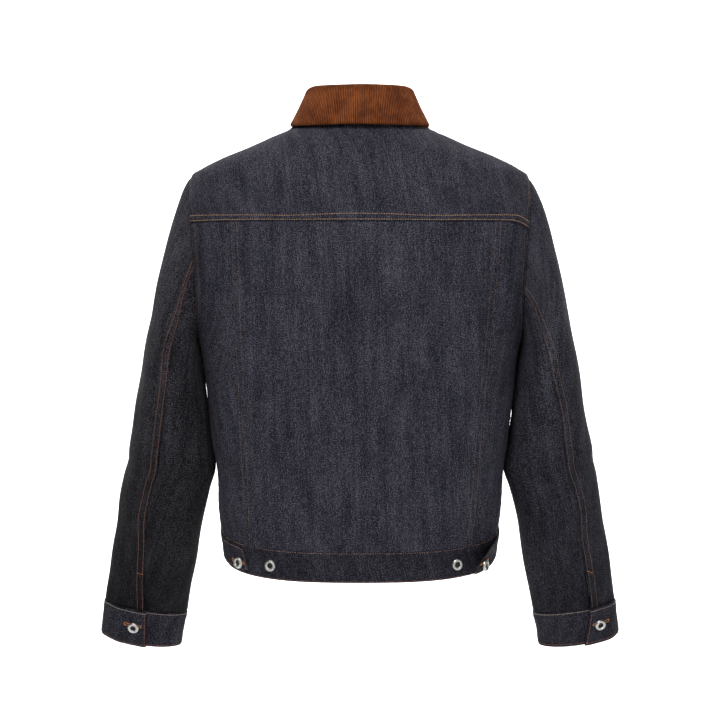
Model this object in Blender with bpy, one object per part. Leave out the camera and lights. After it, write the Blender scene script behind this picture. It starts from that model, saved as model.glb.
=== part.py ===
"""Denim trucker jacket with a corduroy collar, filled out as when worn, with no wearer.

Metres, +Z up. The jacket's back faces -Y and its front +Y, so the wearer's right is +X. The origin is
where the wearer's shoulders carry it: in the middle of the neck, level with the back neck seam.

The body's outer face is torso(u, z): u runs round it, 0 at centre back, 0.5 at the wearer's right side,
1 at centre front and negative on the left. A sleeve's outer face is Sleeve.face(turn, v): turn is an angle,
0 on the outer side, 90 behind and 180 against the body; v runs from 0 at the armhole over the sleeve head
to 1, and on to 2 at the cuff seam. Every panel is a wall between that face and one moved in by its thickness.
"""

import math
from collections import namedtuple

import bmesh
import bpy
import numpy as np
from mathutils import Matrix, Vector

# Thicknesses and small sizes
CLOTH = 0.0016
YOKE_CLOTH = 0.0020
BAND_CLOTH = 0.0030
TAB_CLOTH = 0.0024
COLLAR_CLOTH = 0.0030
SEAM_GAP = 0.0003
ARMHOLE_CLEARANCE = 0.0007
BAND_PROUD = 0.0006
BUTTON_RADIUS = 0.0078
BUTTON_LIFT = 0.0006

# Body: rings down the torso. Widths and depths are from the line through both sides.
TorsoRing = namedtuple("TorsoRing", "z half_width back_depth front_depth squareness")
TORSO = (
    TorsoRing(0.0200, 0.0640, 0.0450, 0.0360, 2.1),
    TorsoRing(0.0055, 0.0890, 0.0560, 0.0420, 2.2),
    TorsoRing(0.0000, 0.0955, 0.0610, 0.0460, 2.2),
    TorsoRing(-0.0137, 0.1250, 0.0740, 0.0560, 2.3),
    TorsoRing(-0.0274, 0.1558, 0.0830, 0.0640, 2.4),
    TorsoRing(-0.0411, 0.1890, 0.0900, 0.0700, 2.5),
    TorsoRing(-0.0548, 0.2148, 0.0955, 0.0755, 2.6),
    TorsoRing(-0.0644, 0.2276, 0.0980, 0.0785, 2.7),
    TorsoRing(-0.0800, 0.2320, 0.1020, 0.0835, 2.9),
    TorsoRing(-0.1100, 0.2345, 0.1070, 0.0910, 3.1),
    TorsoRing(-0.1600, 0.2340, 0.1110, 0.1030, 3.1),
    TorsoRing(-0.2180, 0.2280, 0.1130, 0.1110, 3.0),
    TorsoRing(-0.2710, 0.2200, 0.1130, 0.1150, 2.9),
    TorsoRing(-0.3190, 0.2135, 0.1120, 0.1160, 2.8),
    TorsoRing(-0.3590, 0.2090, 0.1105, 0.1150, 2.7),
    TorsoRing(-0.4250, 0.2010, 0.1070, 0.1110, 2.6),
    TorsoRing(-0.4660, 0.1946, 0.1055, 0.1085, 2.5),
    TorsoRing(-0.5070, 0.1922, 0.1040, 0.1060, 2.5),
    TorsoRing(-0.5480, 0.1872, 0.1030, 0.1040, 2.4),
    TorsoRing(-0.5890, 0.1820, 0.1025, 0.1025, 2.4),
    TorsoRing(-0.6300, 0.1805, 0.1020, 0.1020, 2.4),
)

# Seams of the body
NECK_BACK_Z = -0.0010
NECK_SIDE_Z = 0.0055
NECK_SIDE_X = 0.0890
NECK_FRONT_Z = -0.0800
NECK_BACK_CURVE = 3.0
NECK_FRONT_CURVE = 2.2
SHOULDER_TIP_Z = -0.0644
UNDERARM_Z = -0.2900
ARMHOLE_BACK = 0.058
ARMHOLE_FRONT = 0.072
YOKE_SEAM_Z = -0.1335
YOKE_BOW = 0.0015
YOKE_DROP = 0.0120
YOKE_DROP_START_X = 0.2000
YOKE_DROP_WIDTH = 0.0280
HEM_BACK_Z = -0.6065
HEM_SIDE_Z = -0.5800
HEM_FRONT_Z = -0.5945
HEM_BACK_CURVE = 3.2
HEM_FRONT_CURVE = 1.6
BAND_HEIGHT = 0.0400

BackSeam = namedtuple("BackSeam", "z left_x right_x")
BACK_SEAMS = (
    BackSeam(-0.1000, -0.1720, 0.1890),
    BackSeam(-0.1390, -0.1707, 0.1870),
    BackSeam(-0.2130, -0.1675, 0.1805),
    BackSeam(-0.2780, -0.1650, 0.1747),
    BackSeam(-0.3490, -0.1620, 0.1676),
    BackSeam(-0.4250, -0.1588, 0.1610),
    BackSeam(-0.4980, -0.1558, 0.1552),
    BackSeam(-0.5500, -0.1530, 0.1493),
    BackSeam(-0.6000, -0.1510, 0.1460),
)

# The largest soft folds of the back: middle, half length along the fold, half width, lean from upright, depth
Fold = namedtuple("Fold", "x z half_length half_width lean depth")
BACK_FOLDS = (
    Fold(0.121, -0.215, 0.060, 0.014, 4.0, -0.0035),
    Fold(0.150, -0.235, 0.070, 0.016, 6.0, 0.0025),
    Fold(-0.125, -0.250, 0.080, 0.018, -5.0, -0.0025),
    Fold(-0.030, -0.430, 0.070, 0.030, 12.0, -0.0025),
    Fold(0.060, -0.490, 0.050, 0.024, -20.0, -0.0030),
    Fold(-0.090, -0.510, 0.040, 0.020, 25.0, -0.0025),
)

# Sleeve: rings down the arm. roll lifts the outer side, pitch drops the rear side.
SleeveRing = namedtuple("SleeveRing", "z x y half_width half_depth roll pitch")
SLEEVE = (
    SleeveRing(-0.3150, 0.2550, -0.0020, 0.0405, 0.0800, 3.0, 0.0),
    SleeveRing(-0.3700, 0.2563, -0.0040, 0.0486, 0.0715, 5.0, 2.0),
    SleeveRing(-0.4110, 0.2570, -0.0010, 0.0547, 0.0640, 6.5, 5.0),
    SleeveRing(-0.4520, 0.2574, 0.0030, 0.0608, 0.0560, 8.0, 9.0),
    SleeveRing(-0.4800, 0.2650, 0.0070, 0.0601, 0.0515, 9.0, 12.0),
    SleeveRing(-0.5081, 0.2715, 0.0130, 0.0595, 0.0480, 9.5, 15.0),
    SleeveRing(-0.5505, 0.2791, 0.0240, 0.0592, 0.0440, 9.5, 17.0),
    SleeveRing(-0.5935, 0.2875, 0.0360, 0.0592, 0.0395, 9.5, 15.0),
    SleeveRing(-0.6225, 0.2934, 0.0440, 0.0588, 0.0355, 9.0, 12.0),
    SleeveRing(-0.6518, 0.2990, 0.0530, 0.0583, 0.0310, 8.5, 8.0),
    SleeveRing(-0.6812, 0.3045, 0.0610, 0.0574, 0.0270, 8.5, 12.0),
    SleeveRing(-0.7200, 0.3110, 0.0730, 0.0565, 0.0250, 8.5, 19.0),
)
CUFF_TOP_Z = -0.6585
CUFF_HEIGHT = 0.0475

# How the sleeve leaves the armhole: the direction and pull of its cloth at four places round the seam
HEAD_TOP = (0.075, 0.000, -0.050)
HEAD_BACK = (0.050, -0.050, -0.050)
HEAD_UNDER = (0.012, 0.000, 0.004)
HEAD_FRONT = (0.050, 0.045, -0.050)

# Sleeve seams: angle round the sleeve at a place down it, rear ones on each side and the hidden front one
SleeveSeam = namedtuple("SleeveSeam", "v left_rear right_rear front")
SLEEVE_SEAMS = (
    SleeveSeam(0.00, 97.0, 116.0, 255.0),
    SleeveSeam(0.50, 105.0, 112.0, 257.0),
    SleeveSeam(1.00, 95.0, 96.0, 260.0),
    SleeveSeam(1.21, 85.0, 78.0, 262.0),
    SleeveSeam(1.41, 77.0, 70.0, 264.0),
    SleeveSeam(1.57, 74.5, 66.0, 265.0),
    SleeveSeam(1.72, 79.0, 68.5, 265.0),
    SleeveSeam(1.85, 84.0, 68.5, 265.0),
    SleeveSeam(2.00, 91.5, 70.0, 265.0),
    SleeveSeam(2.15, 97.5, 83.0, 265.0),
)
CUFF_LAP = 28.0
CUFF_END_PAST = 3.0
CUFF_BUTTON_SHARE = 0.48
LAP_RISE_START = 2.4
LAP_RISE_LENGTH = 1.2
CUFF_BUTTON_BACK = 17.0

# Collar: sections from centre back (0) past the shoulder seam (0.5) to its front end (1)
CollarSection = namedtuple("CollarSection", "along fold_rise fold_in edge_out edge_rise")
COLLAR = (
    CollarSection(0.00, 0.0554, 0.0035, 0.0140, -0.0010),
    CollarSection(0.25, 0.0545, 0.0065, 0.0120, -0.0015),
    CollarSection(0.50, 0.0430, 0.0162, 0.0056, -0.0008),
    CollarSection(0.70, 0.0360, 0.0080, 0.0180, -0.0060),
    CollarSection(0.85, 0.0270, 0.0020, 0.0290, -0.0220),
    CollarSection(1.00, 0.0140, -0.0050, 0.0360, -0.0480),
)
COLLAR_FOLD_RADIUS = 0.0036
COLLAR_FOOT_IN = 0.0006
COLLAR_FOOT_RISE = 0.0016
COLLAR_END_X = 0.0070

# Front closing, the wearer's left over the right
PLACKET_LEFT_X = -0.0220
PLACKET_RIGHT_X = 0.0190
PLACKET_MIDDLE_X = -0.0010
FRONT_MEET_X = -0.0140
FRONT_BUTTONS_Z = (-0.105, -0.195, -0.285, -0.375, -0.465)
BAND_LAP_X = 0.0190

# Waist tabs: where each starts, the upper and lower corner of its end, how far that end stands off, and its
# button's place, below the middle of the tab by button_drop
WaistTab = namedtuple("WaistTab", "side root_u upper_x lower_x stand_off button_x button_drop")
WAIST_TABS = (
    WaistTab(-1, 0.530, 0.1540, 0.1460, 0.0012, 0.1575, 0.0060),
    WaistTab(1, 0.530, 0.1560, 0.1365, 0.0205, 0.1520, 0.0060),
)
TAB_MARGIN = 0.0040
TAB_LEVEL_U = 0.40
TAB_ROUNDING = 0.10
TAB_ROUND_FROM = 0.88
TAB_LOOSE_FROM = 0.35
TAB_REACH_U = 0.015
TAB_BUTTON_RISE = 0.0008
BAND_BUTTONS_X = (-0.1170, 0.1270)
BAND_BUTTON_DROP = 0.0020

# Values of u between which a place on the front is looked for
FRONT_U = (0.5, 1.12)

# Fineness of the panels' grids
CENTRE_COLUMNS = 14
SIDE_COLUMNS = 6
YOKE_ROWS = 6
ARMHOLE_STEP = 15.0
UNDERARM_SHARE = 0.52
UNDERARM_ROWS = 10

DENIM = ("denim", (0.026, 0.026, 0.045), 0.0, 0.85)
CORDUROY = ("corduroy", (0.200, 0.062, 0.014), 0.0, 0.90)
METAL = ("button metal", (0.600, 0.590, 0.570), 1.0, 0.30)


def profile(rows, at):
    """A table's other columns at values of its first one, along a smooth curve that never overshoots."""
    table = np.array(sorted(tuple(row) for row in rows))
    x, y = table[:, 0], table[:, 1:]
    step = np.diff(x)[:, None]
    slope = np.diff(y, axis=0) / step
    tangent = np.concatenate([slope[:1], np.zeros_like(slope[1:]), slope[-1:]])
    before, after = 2 * step[1:] + step[:-1], step[1:] + 2 * step[:-1]
    same_way = slope[1:] * slope[:-1] > 0
    low = np.where(same_way, slope[:-1], 1)
    high = np.where(same_way, slope[1:], 1)
    tangent[1:-1] = np.where(same_way, (before + after) / (before / low + after / high), 0)
    at = np.atleast_1d(at)
    k = np.clip(np.searchsorted(x, at, side="right") - 1, 0, len(x) - 2)
    t = ((at - x[k]) / (x[k + 1] - x[k]))[:, None]
    return (
        (1 + 2 * t) * (1 - t) ** 2 * y[k]
        + t * (1 - t) ** 2 * step[k] * tangent[k]
        + t**2 * (3 - 2 * t) * y[k + 1]
        - t**2 * (1 - t) * step[k] * tangent[k + 1]
    )


def quarter_arc(share, half_width, depth, squareness):
    """x and y at a share of the way, by length, from the depth axis of a superellipse to its width axis."""
    steps = 64
    turn = np.linspace(0, math.pi / 2, steps + 1)
    power = 2 / squareness[:, None]
    x = half_width[:, None] * np.sin(turn) ** power
    y = depth[:, None] * np.clip(np.cos(turn), 0, 1) ** power
    length = np.cumsum(np.hypot(np.diff(x), np.diff(y)), axis=1)
    length = np.concatenate([np.zeros((len(x), 1)), length], axis=1)
    target = share * length[:, -1]
    k = np.clip((length < target[:, None]).sum(axis=1) - 1, 0, steps - 1)
    row = np.arange(len(k))
    part = (target - length[row, k]) / (length[row, k + 1] - length[row, k])
    return (
        x[row, k] + part * (x[row, k + 1] - x[row, k]),
        y[row, k] + part * (y[row, k + 1] - y[row, k]),
    )


def fold_height(x, z, folds):
    """How far the soft folds lift the cloth at a place on the back."""
    height = np.zeros_like(x)
    for fold in folds:
        lean = math.radians(fold.lean)
        along = (z - fold.z) * math.cos(lean) + (x - fold.x) * math.sin(lean)
        across = (x - fold.x) * math.cos(lean) - (z - fold.z) * math.sin(lean)
        height += fold.depth * np.exp(-((along / fold.half_length) ** 2) - (across / fold.half_width) ** 2)
    return height


def torso(u, z):
    """Points on the body's outer face."""
    u, z = np.broadcast_arrays(np.asarray(u, float), np.asarray(z, float))
    shape = u.shape
    z = z.ravel()
    u = (u.ravel() + 1) % 2 - 1
    half_width, back, front, square = profile(TORSO, z).T
    to_side = np.abs(u) * 2
    behind = to_side <= 1
    depth = np.where(behind, back, front)
    x, y = quarter_arc(np.where(behind, to_side, 2 - to_side), half_width, depth, square)
    away_x = (x / half_width) ** (square - 1) / half_width
    away_y = (y / depth) ** (square - 1) / depth
    away = np.hypot(away_x, away_y)
    x = np.where(u < 0, -x, x)
    lift = np.where(behind, fold_height(x, z, BACK_FOLDS), 0)
    x = x + np.where(u < 0, -1, 1) * lift * away_x / away
    y = (y + lift * away_y / away) * np.where(behind, -1, 1)
    return np.stack([x, y, z], axis=-1).reshape(shape + (3,))


def u_at(z, axis, value, low, high):
    """Where round the body, between two values of u, its face passes a given x (axis 0) or y (axis 1)."""
    samples = np.linspace(low, high, 161)
    found = []
    for height, target in zip(*np.broadcast_arrays(np.atleast_1d(z), np.atleast_1d(value))):
        places = torso(samples, height)[:, axis]
        order = np.argsort(places)
        found.append(np.interp(target, places[order], samples[order]))
    return np.array(found)


def face_normals(face, a, b, step_a, step_b):
    """Unit normals of a face(a, b), out of the cloth."""
    across = face(a + step_a, b) - face(a - step_a, b)
    along = face(a, b + step_b) - face(a, b - step_b)
    normal = np.cross(across, along)
    return normal / np.linalg.norm(normal, axis=-1, keepdims=True)


def torso_out(u, z, height):
    """Points at a height above the body's outer face, or below it where that is negative."""
    return torso(u, z) + np.asarray(height)[..., None] * face_normals(torso, u, z, 0.002, 0.0005)


# Seam lines, as functions of a share of their length, each giving (u, z) pairs


def pairs(u, z):
    return np.stack(np.broadcast_arrays(u, z), axis=-1)


def chain(*parts):
    """One line from several, each given with the share at which it starts."""

    def line(share):
        starts = [start for start, _ in parts] + [1.0]
        result = np.zeros((len(share), 2))
        for (start, part), end in zip(parts, starts[1:]):
            inside = (share >= start - 1e-9) & (share <= end + 1e-9)
            result[inside] = part((share[inside] - start) / (end - start))
        return result

    return line


def reverse(line):
    return lambda share: line(1 - share)


def armhole_uz(turn, side):
    """The armhole seam at angles round it: 0 at the shoulder tip, 90 behind, 180 under the arm."""
    turn = np.radians(turn)
    middle, half = (SHOULDER_TIP_Z + UNDERARM_Z) / 2, (SHOULDER_TIP_Z - UNDERARM_Z) / 2
    z = middle + half * np.cos(turn)
    sine = np.sin(turn)
    y = -np.where(sine > 0, ARMHOLE_BACK, ARMHOLE_FRONT) * sine
    return pairs(side * u_at(z, 1, y, 0.0, 1.0), z)


ARMHOLE_POINTS = {}


def armhole_points(turn):
    """Points on the right armhole seam, read off a chain of them one degree apart."""
    if not ARMHOLE_POINTS:
        turns = np.arange(0.0, 361.0)
        seam = armhole_uz(turns, 1)
        ARMHOLE_POINTS.update(turns=turns, points=torso(seam[:, 0], seam[:, 1]))
    turns, points = ARMHOLE_POINTS["turns"], ARMHOLE_POINTS["points"]
    turn = np.asarray(turn) % 360
    return np.stack([np.interp(turn, turns, column) for column in points.T], axis=-1)


def turns_between(*stops):
    """Angles round the armhole from stop to stop, in equal steps of at most ARMHOLE_STEP."""
    turns = [float(stops[0])]
    for start, end in zip(stops, stops[1:]):
        count = math.ceil(abs(end - start) / ARMHOLE_STEP)
        turns += [start + (end - start) * k / count for k in range(1, count + 1)]
    return np.array(turns)


def armhole(side, turns):
    """The stretch of the armhole through these angles, which share its length out evenly."""
    return lambda share: armhole_uz(np.interp(share, np.linspace(0, 1, len(turns)), turns), side)


def hem_z(u):
    u = np.abs((np.asarray(u, float) + 1) % 2 - 1)
    behind = HEM_BACK_Z + (HEM_SIDE_Z - HEM_BACK_Z) * (np.minimum(u, 0.5) / 0.5) ** HEM_BACK_CURVE
    return behind + (HEM_FRONT_Z - HEM_SIDE_Z) * (np.maximum(u - 0.5, 0) / 0.5) ** HEM_FRONT_CURVE


def waist_line(start_u, end_u):
    def line(share):
        u = start_u + (end_u - start_u) * share
        return pairs(u, hem_z(u) + BAND_HEIGHT)

    return line


def yoke_z(x):
    """The yoke seam's height: nearly level, dropping close to the right armhole."""
    drop = np.clip((x - YOKE_DROP_START_X) / YOKE_DROP_WIDTH, 0, 1)
    return YOKE_SEAM_Z + YOKE_BOW * (x / YOKE_DROP_START_X) ** 2 - YOKE_DROP * drop**2


def yoke_line(start_x, end_x):
    def line(share):
        x = start_x + (end_x - start_x) * share
        z = yoke_z(x)
        return pairs(u_at(z, 0, x, -0.5, 0.5), z)

    return line


def yoke_end(side):
    """x and angle round the armhole where the yoke seam runs into it."""
    turns = np.linspace(40, 120, 161)
    line = armhole_uz(turns, side)
    x = torso(line[:, 0], line[:, 1])[:, 0]
    above = line[:, 1] - yoke_z(x)
    turn = float(np.interp(0, -above, turns))
    return float(np.interp(turn, turns, x)), turn


def back_seam_u(side, z):
    x = profile(BACK_SEAMS, z)[:, 0 if side < 0 else 1]
    return u_at(z, 0, x, -0.5, 0.5)


def back_seam(side):
    """A back panel seam from the waistband up to the yoke."""
    top_x = float(profile(BACK_SEAMS, YOKE_SEAM_Z)[0, 0 if side < 0 else 1])
    top_z = float(yoke_z(top_x))
    foot_u = float(back_seam_u(side, np.array([HEM_BACK_Z + BAND_HEIGHT]))[0])
    foot_z = float(hem_z(foot_u)) + BAND_HEIGHT
    foot_u = float(back_seam_u(side, np.array([foot_z]))[0])

    def line(share):
        z = foot_z + (top_z - foot_z) * share
        return pairs(back_seam_u(side, z), z)

    return line, foot_u, top_x


def side_seam(side):
    """From the waistband up to the underarm."""
    foot_z = float(hem_z(0.5)) + BAND_HEIGHT
    top_u, top_z = armhole_uz(np.array([180.0]), 1)[0]

    def line(share):
        return pairs(side * (0.5 + (top_u - 0.5) * share), foot_z + (top_z - foot_z) * share)

    return line


def shoulder_seam(side):
    """From the shoulder tip up to the neck."""
    return lambda share: pairs(side * 0.5, SHOULDER_TIP_Z + (NECK_SIDE_Z - SHOULDER_TIP_Z) * share)


def neck_back(share):
    u = share - 0.5
    return pairs(u, NECK_BACK_Z + (NECK_SIDE_Z - NECK_BACK_Z) * (2 * np.abs(u)) ** NECK_BACK_CURVE)


def neck_front(side, end_x):
    """From the shoulder seam down to the front edge."""

    def line(share):
        x = NECK_SIDE_X + (side * end_x - NECK_SIDE_X) * share
        z = NECK_FRONT_Z + (NECK_SIDE_Z - NECK_FRONT_Z) * (np.abs(x) / NECK_SIDE_X) ** NECK_FRONT_CURVE
        return pairs(side * u_at(z, 0, x, *FRONT_U), z)

    return line


def front_edge(side, end_x):
    """The front's own edge, from the waistband up to the neck."""

    foot_z = float(hem_z(u_at(HEM_FRONT_Z + BAND_HEIGHT, 0, side * end_x, *FRONT_U)[0])) + BAND_HEIGHT

    def line(share):
        z = foot_z + (NECK_FRONT_Z - foot_z) * share
        return pairs(side * u_at(z, 0, side * end_x * np.ones_like(z), *FRONT_U), z)

    return line


# Solids


def material(spec):
    name, colour, metallic, roughness = spec
    made = bpy.data.materials.get(name)
    if made is None:
        made = bpy.data.materials.new(name)
        made.use_nodes = True
        shader = made.node_tree.nodes["Principled BSDF"]
        shader.inputs["Base Color"].default_value = (*colour, 1)
        shader.inputs["Metallic"].default_value = metallic
        shader.inputs["Roughness"].default_value = roughness
    return made


def wall(name, outer, inner, spec):
    """A solid object between two grids of points, closed along the grid's four edges."""
    rows, columns = outer.shape[:2]
    mesh = bpy.data.meshes.new(name)
    form = bmesh.new()
    faces = [[[form.verts.new(p) for p in row] for row in grid] for grid in (outer, inner)]
    for grid in faces:
        for r in range(rows - 1):
            for c in range(columns - 1):
                form.faces.new((grid[r][c], grid[r][c + 1], grid[r + 1][c + 1], grid[r + 1][c]))
    rim = [(0, c) for c in range(columns)] + [(r, columns - 1) for r in range(1, rows)]
    rim += [(rows - 1, c) for c in range(columns - 2, -1, -1)] + [(r, 0) for r in range(rows - 2, 0, -1)]
    for (r, c), (r2, c2) in zip(rim, rim[1:] + rim[:1]):
        form.faces.new((faces[0][r][c], faces[0][r2][c2], faces[1][r2][c2], faces[1][r][c]))
    bmesh.ops.recalc_face_normals(form, faces=form.faces)
    if form.calc_volume(signed=True) < 0:
        bmesh.ops.reverse_faces(form, faces=form.faces)
    form.to_mesh(mesh)
    form.free()
    mesh.materials.append(material(spec))
    made = bpy.data.objects.new(name, mesh)
    bpy.context.scene.collection.objects.link(made)
    return made


def coons(bottom, top, left, right, s, r):
    """A grid of (u, z) pairs filling the space between four lines, at shares s across and r up."""
    low, high = bottom(s)[None], top(s)[None]
    first, last = left(r)[:, None], right(r)[:, None]
    s, r = s[None, :, None], r[:, None, None]
    left_corners = (1 - r) * low[:, :1] + r * high[:, :1]
    right_corners = (1 - r) * low[:, -1:] + r * high[:, -1:]
    across, up = (1 - s) * first + s * last, (1 - r) * low + r * high
    return across + up - (1 - s) * left_corners - s * right_corners


def drawn_in(grid, face, first_row=SEAM_GAP / 2):
    """The grid with its four edges pulled in by half a seam gap, or its first row by another distance."""
    grid = grid.copy()
    for edge, inner, distance in (
        (np.s_[0, :], np.s_[1, :], first_row),
        (np.s_[-1, :], np.s_[-2, :], SEAM_GAP / 2),
        (np.s_[:, 0], np.s_[:, 1], SEAM_GAP / 2),
        (np.s_[:, -1], np.s_[:, -2], SEAM_GAP / 2),
    ):
        here, there = grid[edge], grid[inner]
        length = np.linalg.norm(face(here[:, 0], here[:, 1]) - face(there[:, 0], there[:, 1]), axis=1)
        grid[edge] = here + (there - here) * (distance / length)[:, None]
    return grid


def body_panel(name, grid, thickness=CLOTH, height=0.0, spec=DENIM):
    """A wall on the body, its outer face at a height above torso()."""
    grid = drawn_in(grid, torso)
    u, z = grid[..., 0], grid[..., 1]
    return wall(name, torso_out(u, z, height), torso_out(u, z, height - thickness), spec)


def back_panels():
    left_x, left_turn = yoke_end(-1)
    right_x, right_turn = yoke_end(1)
    left_seam, left_foot, left_top = back_seam(-1)
    right_seam, right_foot, right_top = back_seam(1)

    # The yoke's columns meet those of the three panels below it
    x = np.concatenate(
        [
            np.linspace(left_x, left_top, SIDE_COLUMNS + 1)[:-1],
            np.linspace(left_top, right_top, CENTRE_COLUMNS + 1),
            np.linspace(right_top, right_x, SIDE_COLUMNS + 1)[1:],
        ]
    )
    s = (x - left_x) / (right_x - left_x)
    neck_left, neck_right = (s[np.argmin(np.abs(x - corner))] for corner in (-NECK_SIDE_X, NECK_SIDE_X))
    top = chain(
        (0.0, shoulder_seam(-1)),
        (neck_left, neck_back),
        (neck_right, reverse(shoulder_seam(1))),
    )
    r = np.linspace(0, 1, YOKE_ROWS + 1)
    left_turns, right_turns = (np.linspace(turn, 0, YOKE_ROWS + 1) for turn in (left_turn, right_turn))
    grid = coons(yoke_line(left_x, right_x), top, armhole(-1, left_turns), armhole(1, right_turns), s, r)
    body_panel("back_yoke", grid, YOKE_CLOTH)

    s = np.linspace(0, 1, CENTRE_COLUMNS + 1)
    r = np.linspace(0, 1, 17)
    waist, yoke = waist_line(left_foot, right_foot), yoke_line(left_top, right_top)
    grid = coons(waist, yoke, left_seam, right_seam, s, r)
    body_panel("back_centre", grid)
    s = np.linspace(0, 1, SIDE_COLUMNS + 1)
    for name, side, seam, foot, top_x, end_x, end_turn in (
        ("back_side_left", -1, left_seam, left_foot, left_top, left_x, left_turn),
        ("back_side_right", 1, right_seam, right_foot, right_top, right_x, right_turn),
    ):
        turns = turns_between(180, rear_seam_start(side), end_turn)
        r = underarm_rows(UNDERARM_ROWS, len(turns) - 1)
        outer = chain((0.0, side_seam(side)), (UNDERARM_SHARE, armhole(side, turns)))
        grid = coons(waist_line(foot, side * 0.5), yoke_line(top_x, end_x), seam, outer, s, r)
        body_panel(name, grid)


def rear_seam_start(side):
    return SLEEVE_SEAMS[0].left_rear if side < 0 else SLEEVE_SEAMS[0].right_rear


def underarm_rows(below, above):
    """Shares up a panel whose side runs up a side seam and then round an armhole."""
    lower, upper = np.linspace(0, UNDERARM_SHARE, below + 1), np.linspace(UNDERARM_SHARE, 1, above + 1)
    return np.concatenate([lower, upper[1:]])


def fronts():
    turns = turns_between(180, SLEEVE_SEAMS[0].front, 360)
    r = underarm_rows(UNDERARM_ROWS, len(turns) - 1)
    for name, side in (("front_left", -1), ("front_right", 1)):
        outer = chain((0.0, side_seam(side)), (UNDERARM_SHARE, armhole(side, turns)))
        top = chain((0.0, shoulder_seam(side)), (0.5, neck_front(side, FRONT_MEET_X)))
        edge_u = float(front_edge(side, FRONT_MEET_X)(np.array([0.0]))[0, 0])
        s = np.linspace(0, 1, 13)
        grid = coons(waist_line(side * 0.5, edge_u), top, outer, front_edge(side, FRONT_MEET_X), s, r)
        body_panel(name, grid)

    share = np.linspace(0, 1, 21)
    edges = [front_edge(1, x)(share) for x in (PLACKET_LEFT_X, PLACKET_MIDDLE_X, PLACKET_RIGHT_X)]
    body_panel("front_placket", np.stack(edges, axis=1), CLOTH, SEAM_GAP + CLOTH)


class Sleeve:
    """One sleeve's outer face. side is 1 for the wearer's right and -1 for the left."""

    def __init__(self, side):
        self.side = side

    def ring(self, turn, z):
        """Points round the arm at a height of the ring's middle, as on the right sleeve."""
        turn = np.radians(turn)
        x, y, half_width, half_depth, roll, pitch = profile(SLEEVE, z).T
        roll, pitch = np.radians(roll), np.radians(pitch)
        across, behind = half_width * np.cos(turn), half_depth * np.sin(turn)
        return np.stack(
            [
                x + across * np.cos(roll),
                y - behind * np.cos(pitch),
                z + across * np.sin(roll) - behind * np.sin(pitch),
            ],
            axis=-1,
        )

    def head(self, turn, v):
        """Points on the sleeve head, between the armhole (v = 0) and the first ring (v = 1)."""
        start = armhole_points(turn)
        top_z = SLEEVE[0].z
        end = self.ring(turn, np.full_like(turn, top_z))
        below = self.ring(turn, np.full_like(turn, top_z - 0.01))
        arrive = (below - end) / 0.01 * np.linalg.norm(end - start, axis=1)[:, None]
        angle = np.radians(turn)[:, None]
        top, back, under, front = (np.array(d) for d in (HEAD_TOP, HEAD_BACK, HEAD_UNDER, HEAD_FRONT))
        up, rear = np.cos(angle), np.sin(angle)
        leave = np.where(up > 0, top, under) * up**2 + np.where(rear > 0, back, front) * rear**2
        v = v[:, None]
        return (
            (1 + 2 * v) * (1 - v) ** 2 * start
            + v * (1 - v) ** 2 * leave
            + v**2 * (3 - 2 * v) * end
            - v**2 * (1 - v) * arrive
        )

    def face(self, turn, v):
        turn, v = np.broadcast_arrays(np.asarray(turn, float), np.asarray(v, float))
        shape = turn.shape
        turn, v = turn.ravel(), v.ravel()
        top_z = SLEEVE[0].z
        points = self.ring(turn, top_z + (CUFF_TOP_Z - top_z) * np.maximum(v - 1, 0))
        on_head = v < 1
        if on_head.any():
            points[on_head] = self.head(turn[on_head], v[on_head])
        points[:, 0] *= self.side
        return points.reshape(shape + (3,))

    def out(self, turn, v, height):
        normal = face_normals(self.face, turn, v, 0.5, 0.004)
        return self.face(turn, v) + self.side * np.asarray(height)[..., None] * normal

    def rear_seam(self, v):
        return profile(SLEEVE_SEAMS, v)[:, 0 if self.side < 0 else 1]

    def front_seam(self, v):
        return profile(SLEEVE_SEAMS, v)[:, 2]


def sleeve_panels(sleeve, label):
    v = np.concatenate([np.linspace(0, 1, 10), np.linspace(1, 2, 15)[1:]])
    rear, front = sleeve.rear_seam(v), sleeve.front_seam(v)
    yoke_turns = np.linspace(0, yoke_end(sleeve.side)[1], YOKE_ROWS + 1)
    over = np.concatenate(
        [
            turns_between(front[0] - 360, 0)[:-1],
            yoke_turns,
            turns_between(yoke_turns[-1], rear[0])[1:],
        ]
    )
    under = np.concatenate([turns_between(rear[0], 180), turns_between(180, front[0])[1:]])
    for name, start, end, turns in (
        (f"sleeve_{label}_top", front - 360, rear, over),
        (f"sleeve_{label}_under", rear, front, under),
    ):
        share = (turns - turns[0]) / (turns[-1] - turns[0])
        turn = start[:, None] + (end - start)[:, None] * share
        grid = drawn_in(pairs(turn, v[:, None]), sleeve.face, ARMHOLE_CLEARANCE)
        turn, down = grid[..., 0], grid[..., 1]
        wall(name, sleeve.out(turn, down, 0.0), sleeve.out(turn, down, -CLOTH), DENIM)


def lap_lift(share, lap):
    """How far a band's outer end stands over its inner one, as a share of the full lift."""
    t = np.clip((share - (1 - LAP_RISE_START * lap)) / (LAP_RISE_LENGTH * lap), 0, 1)
    return t * t * (3 - 2 * t)


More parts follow.
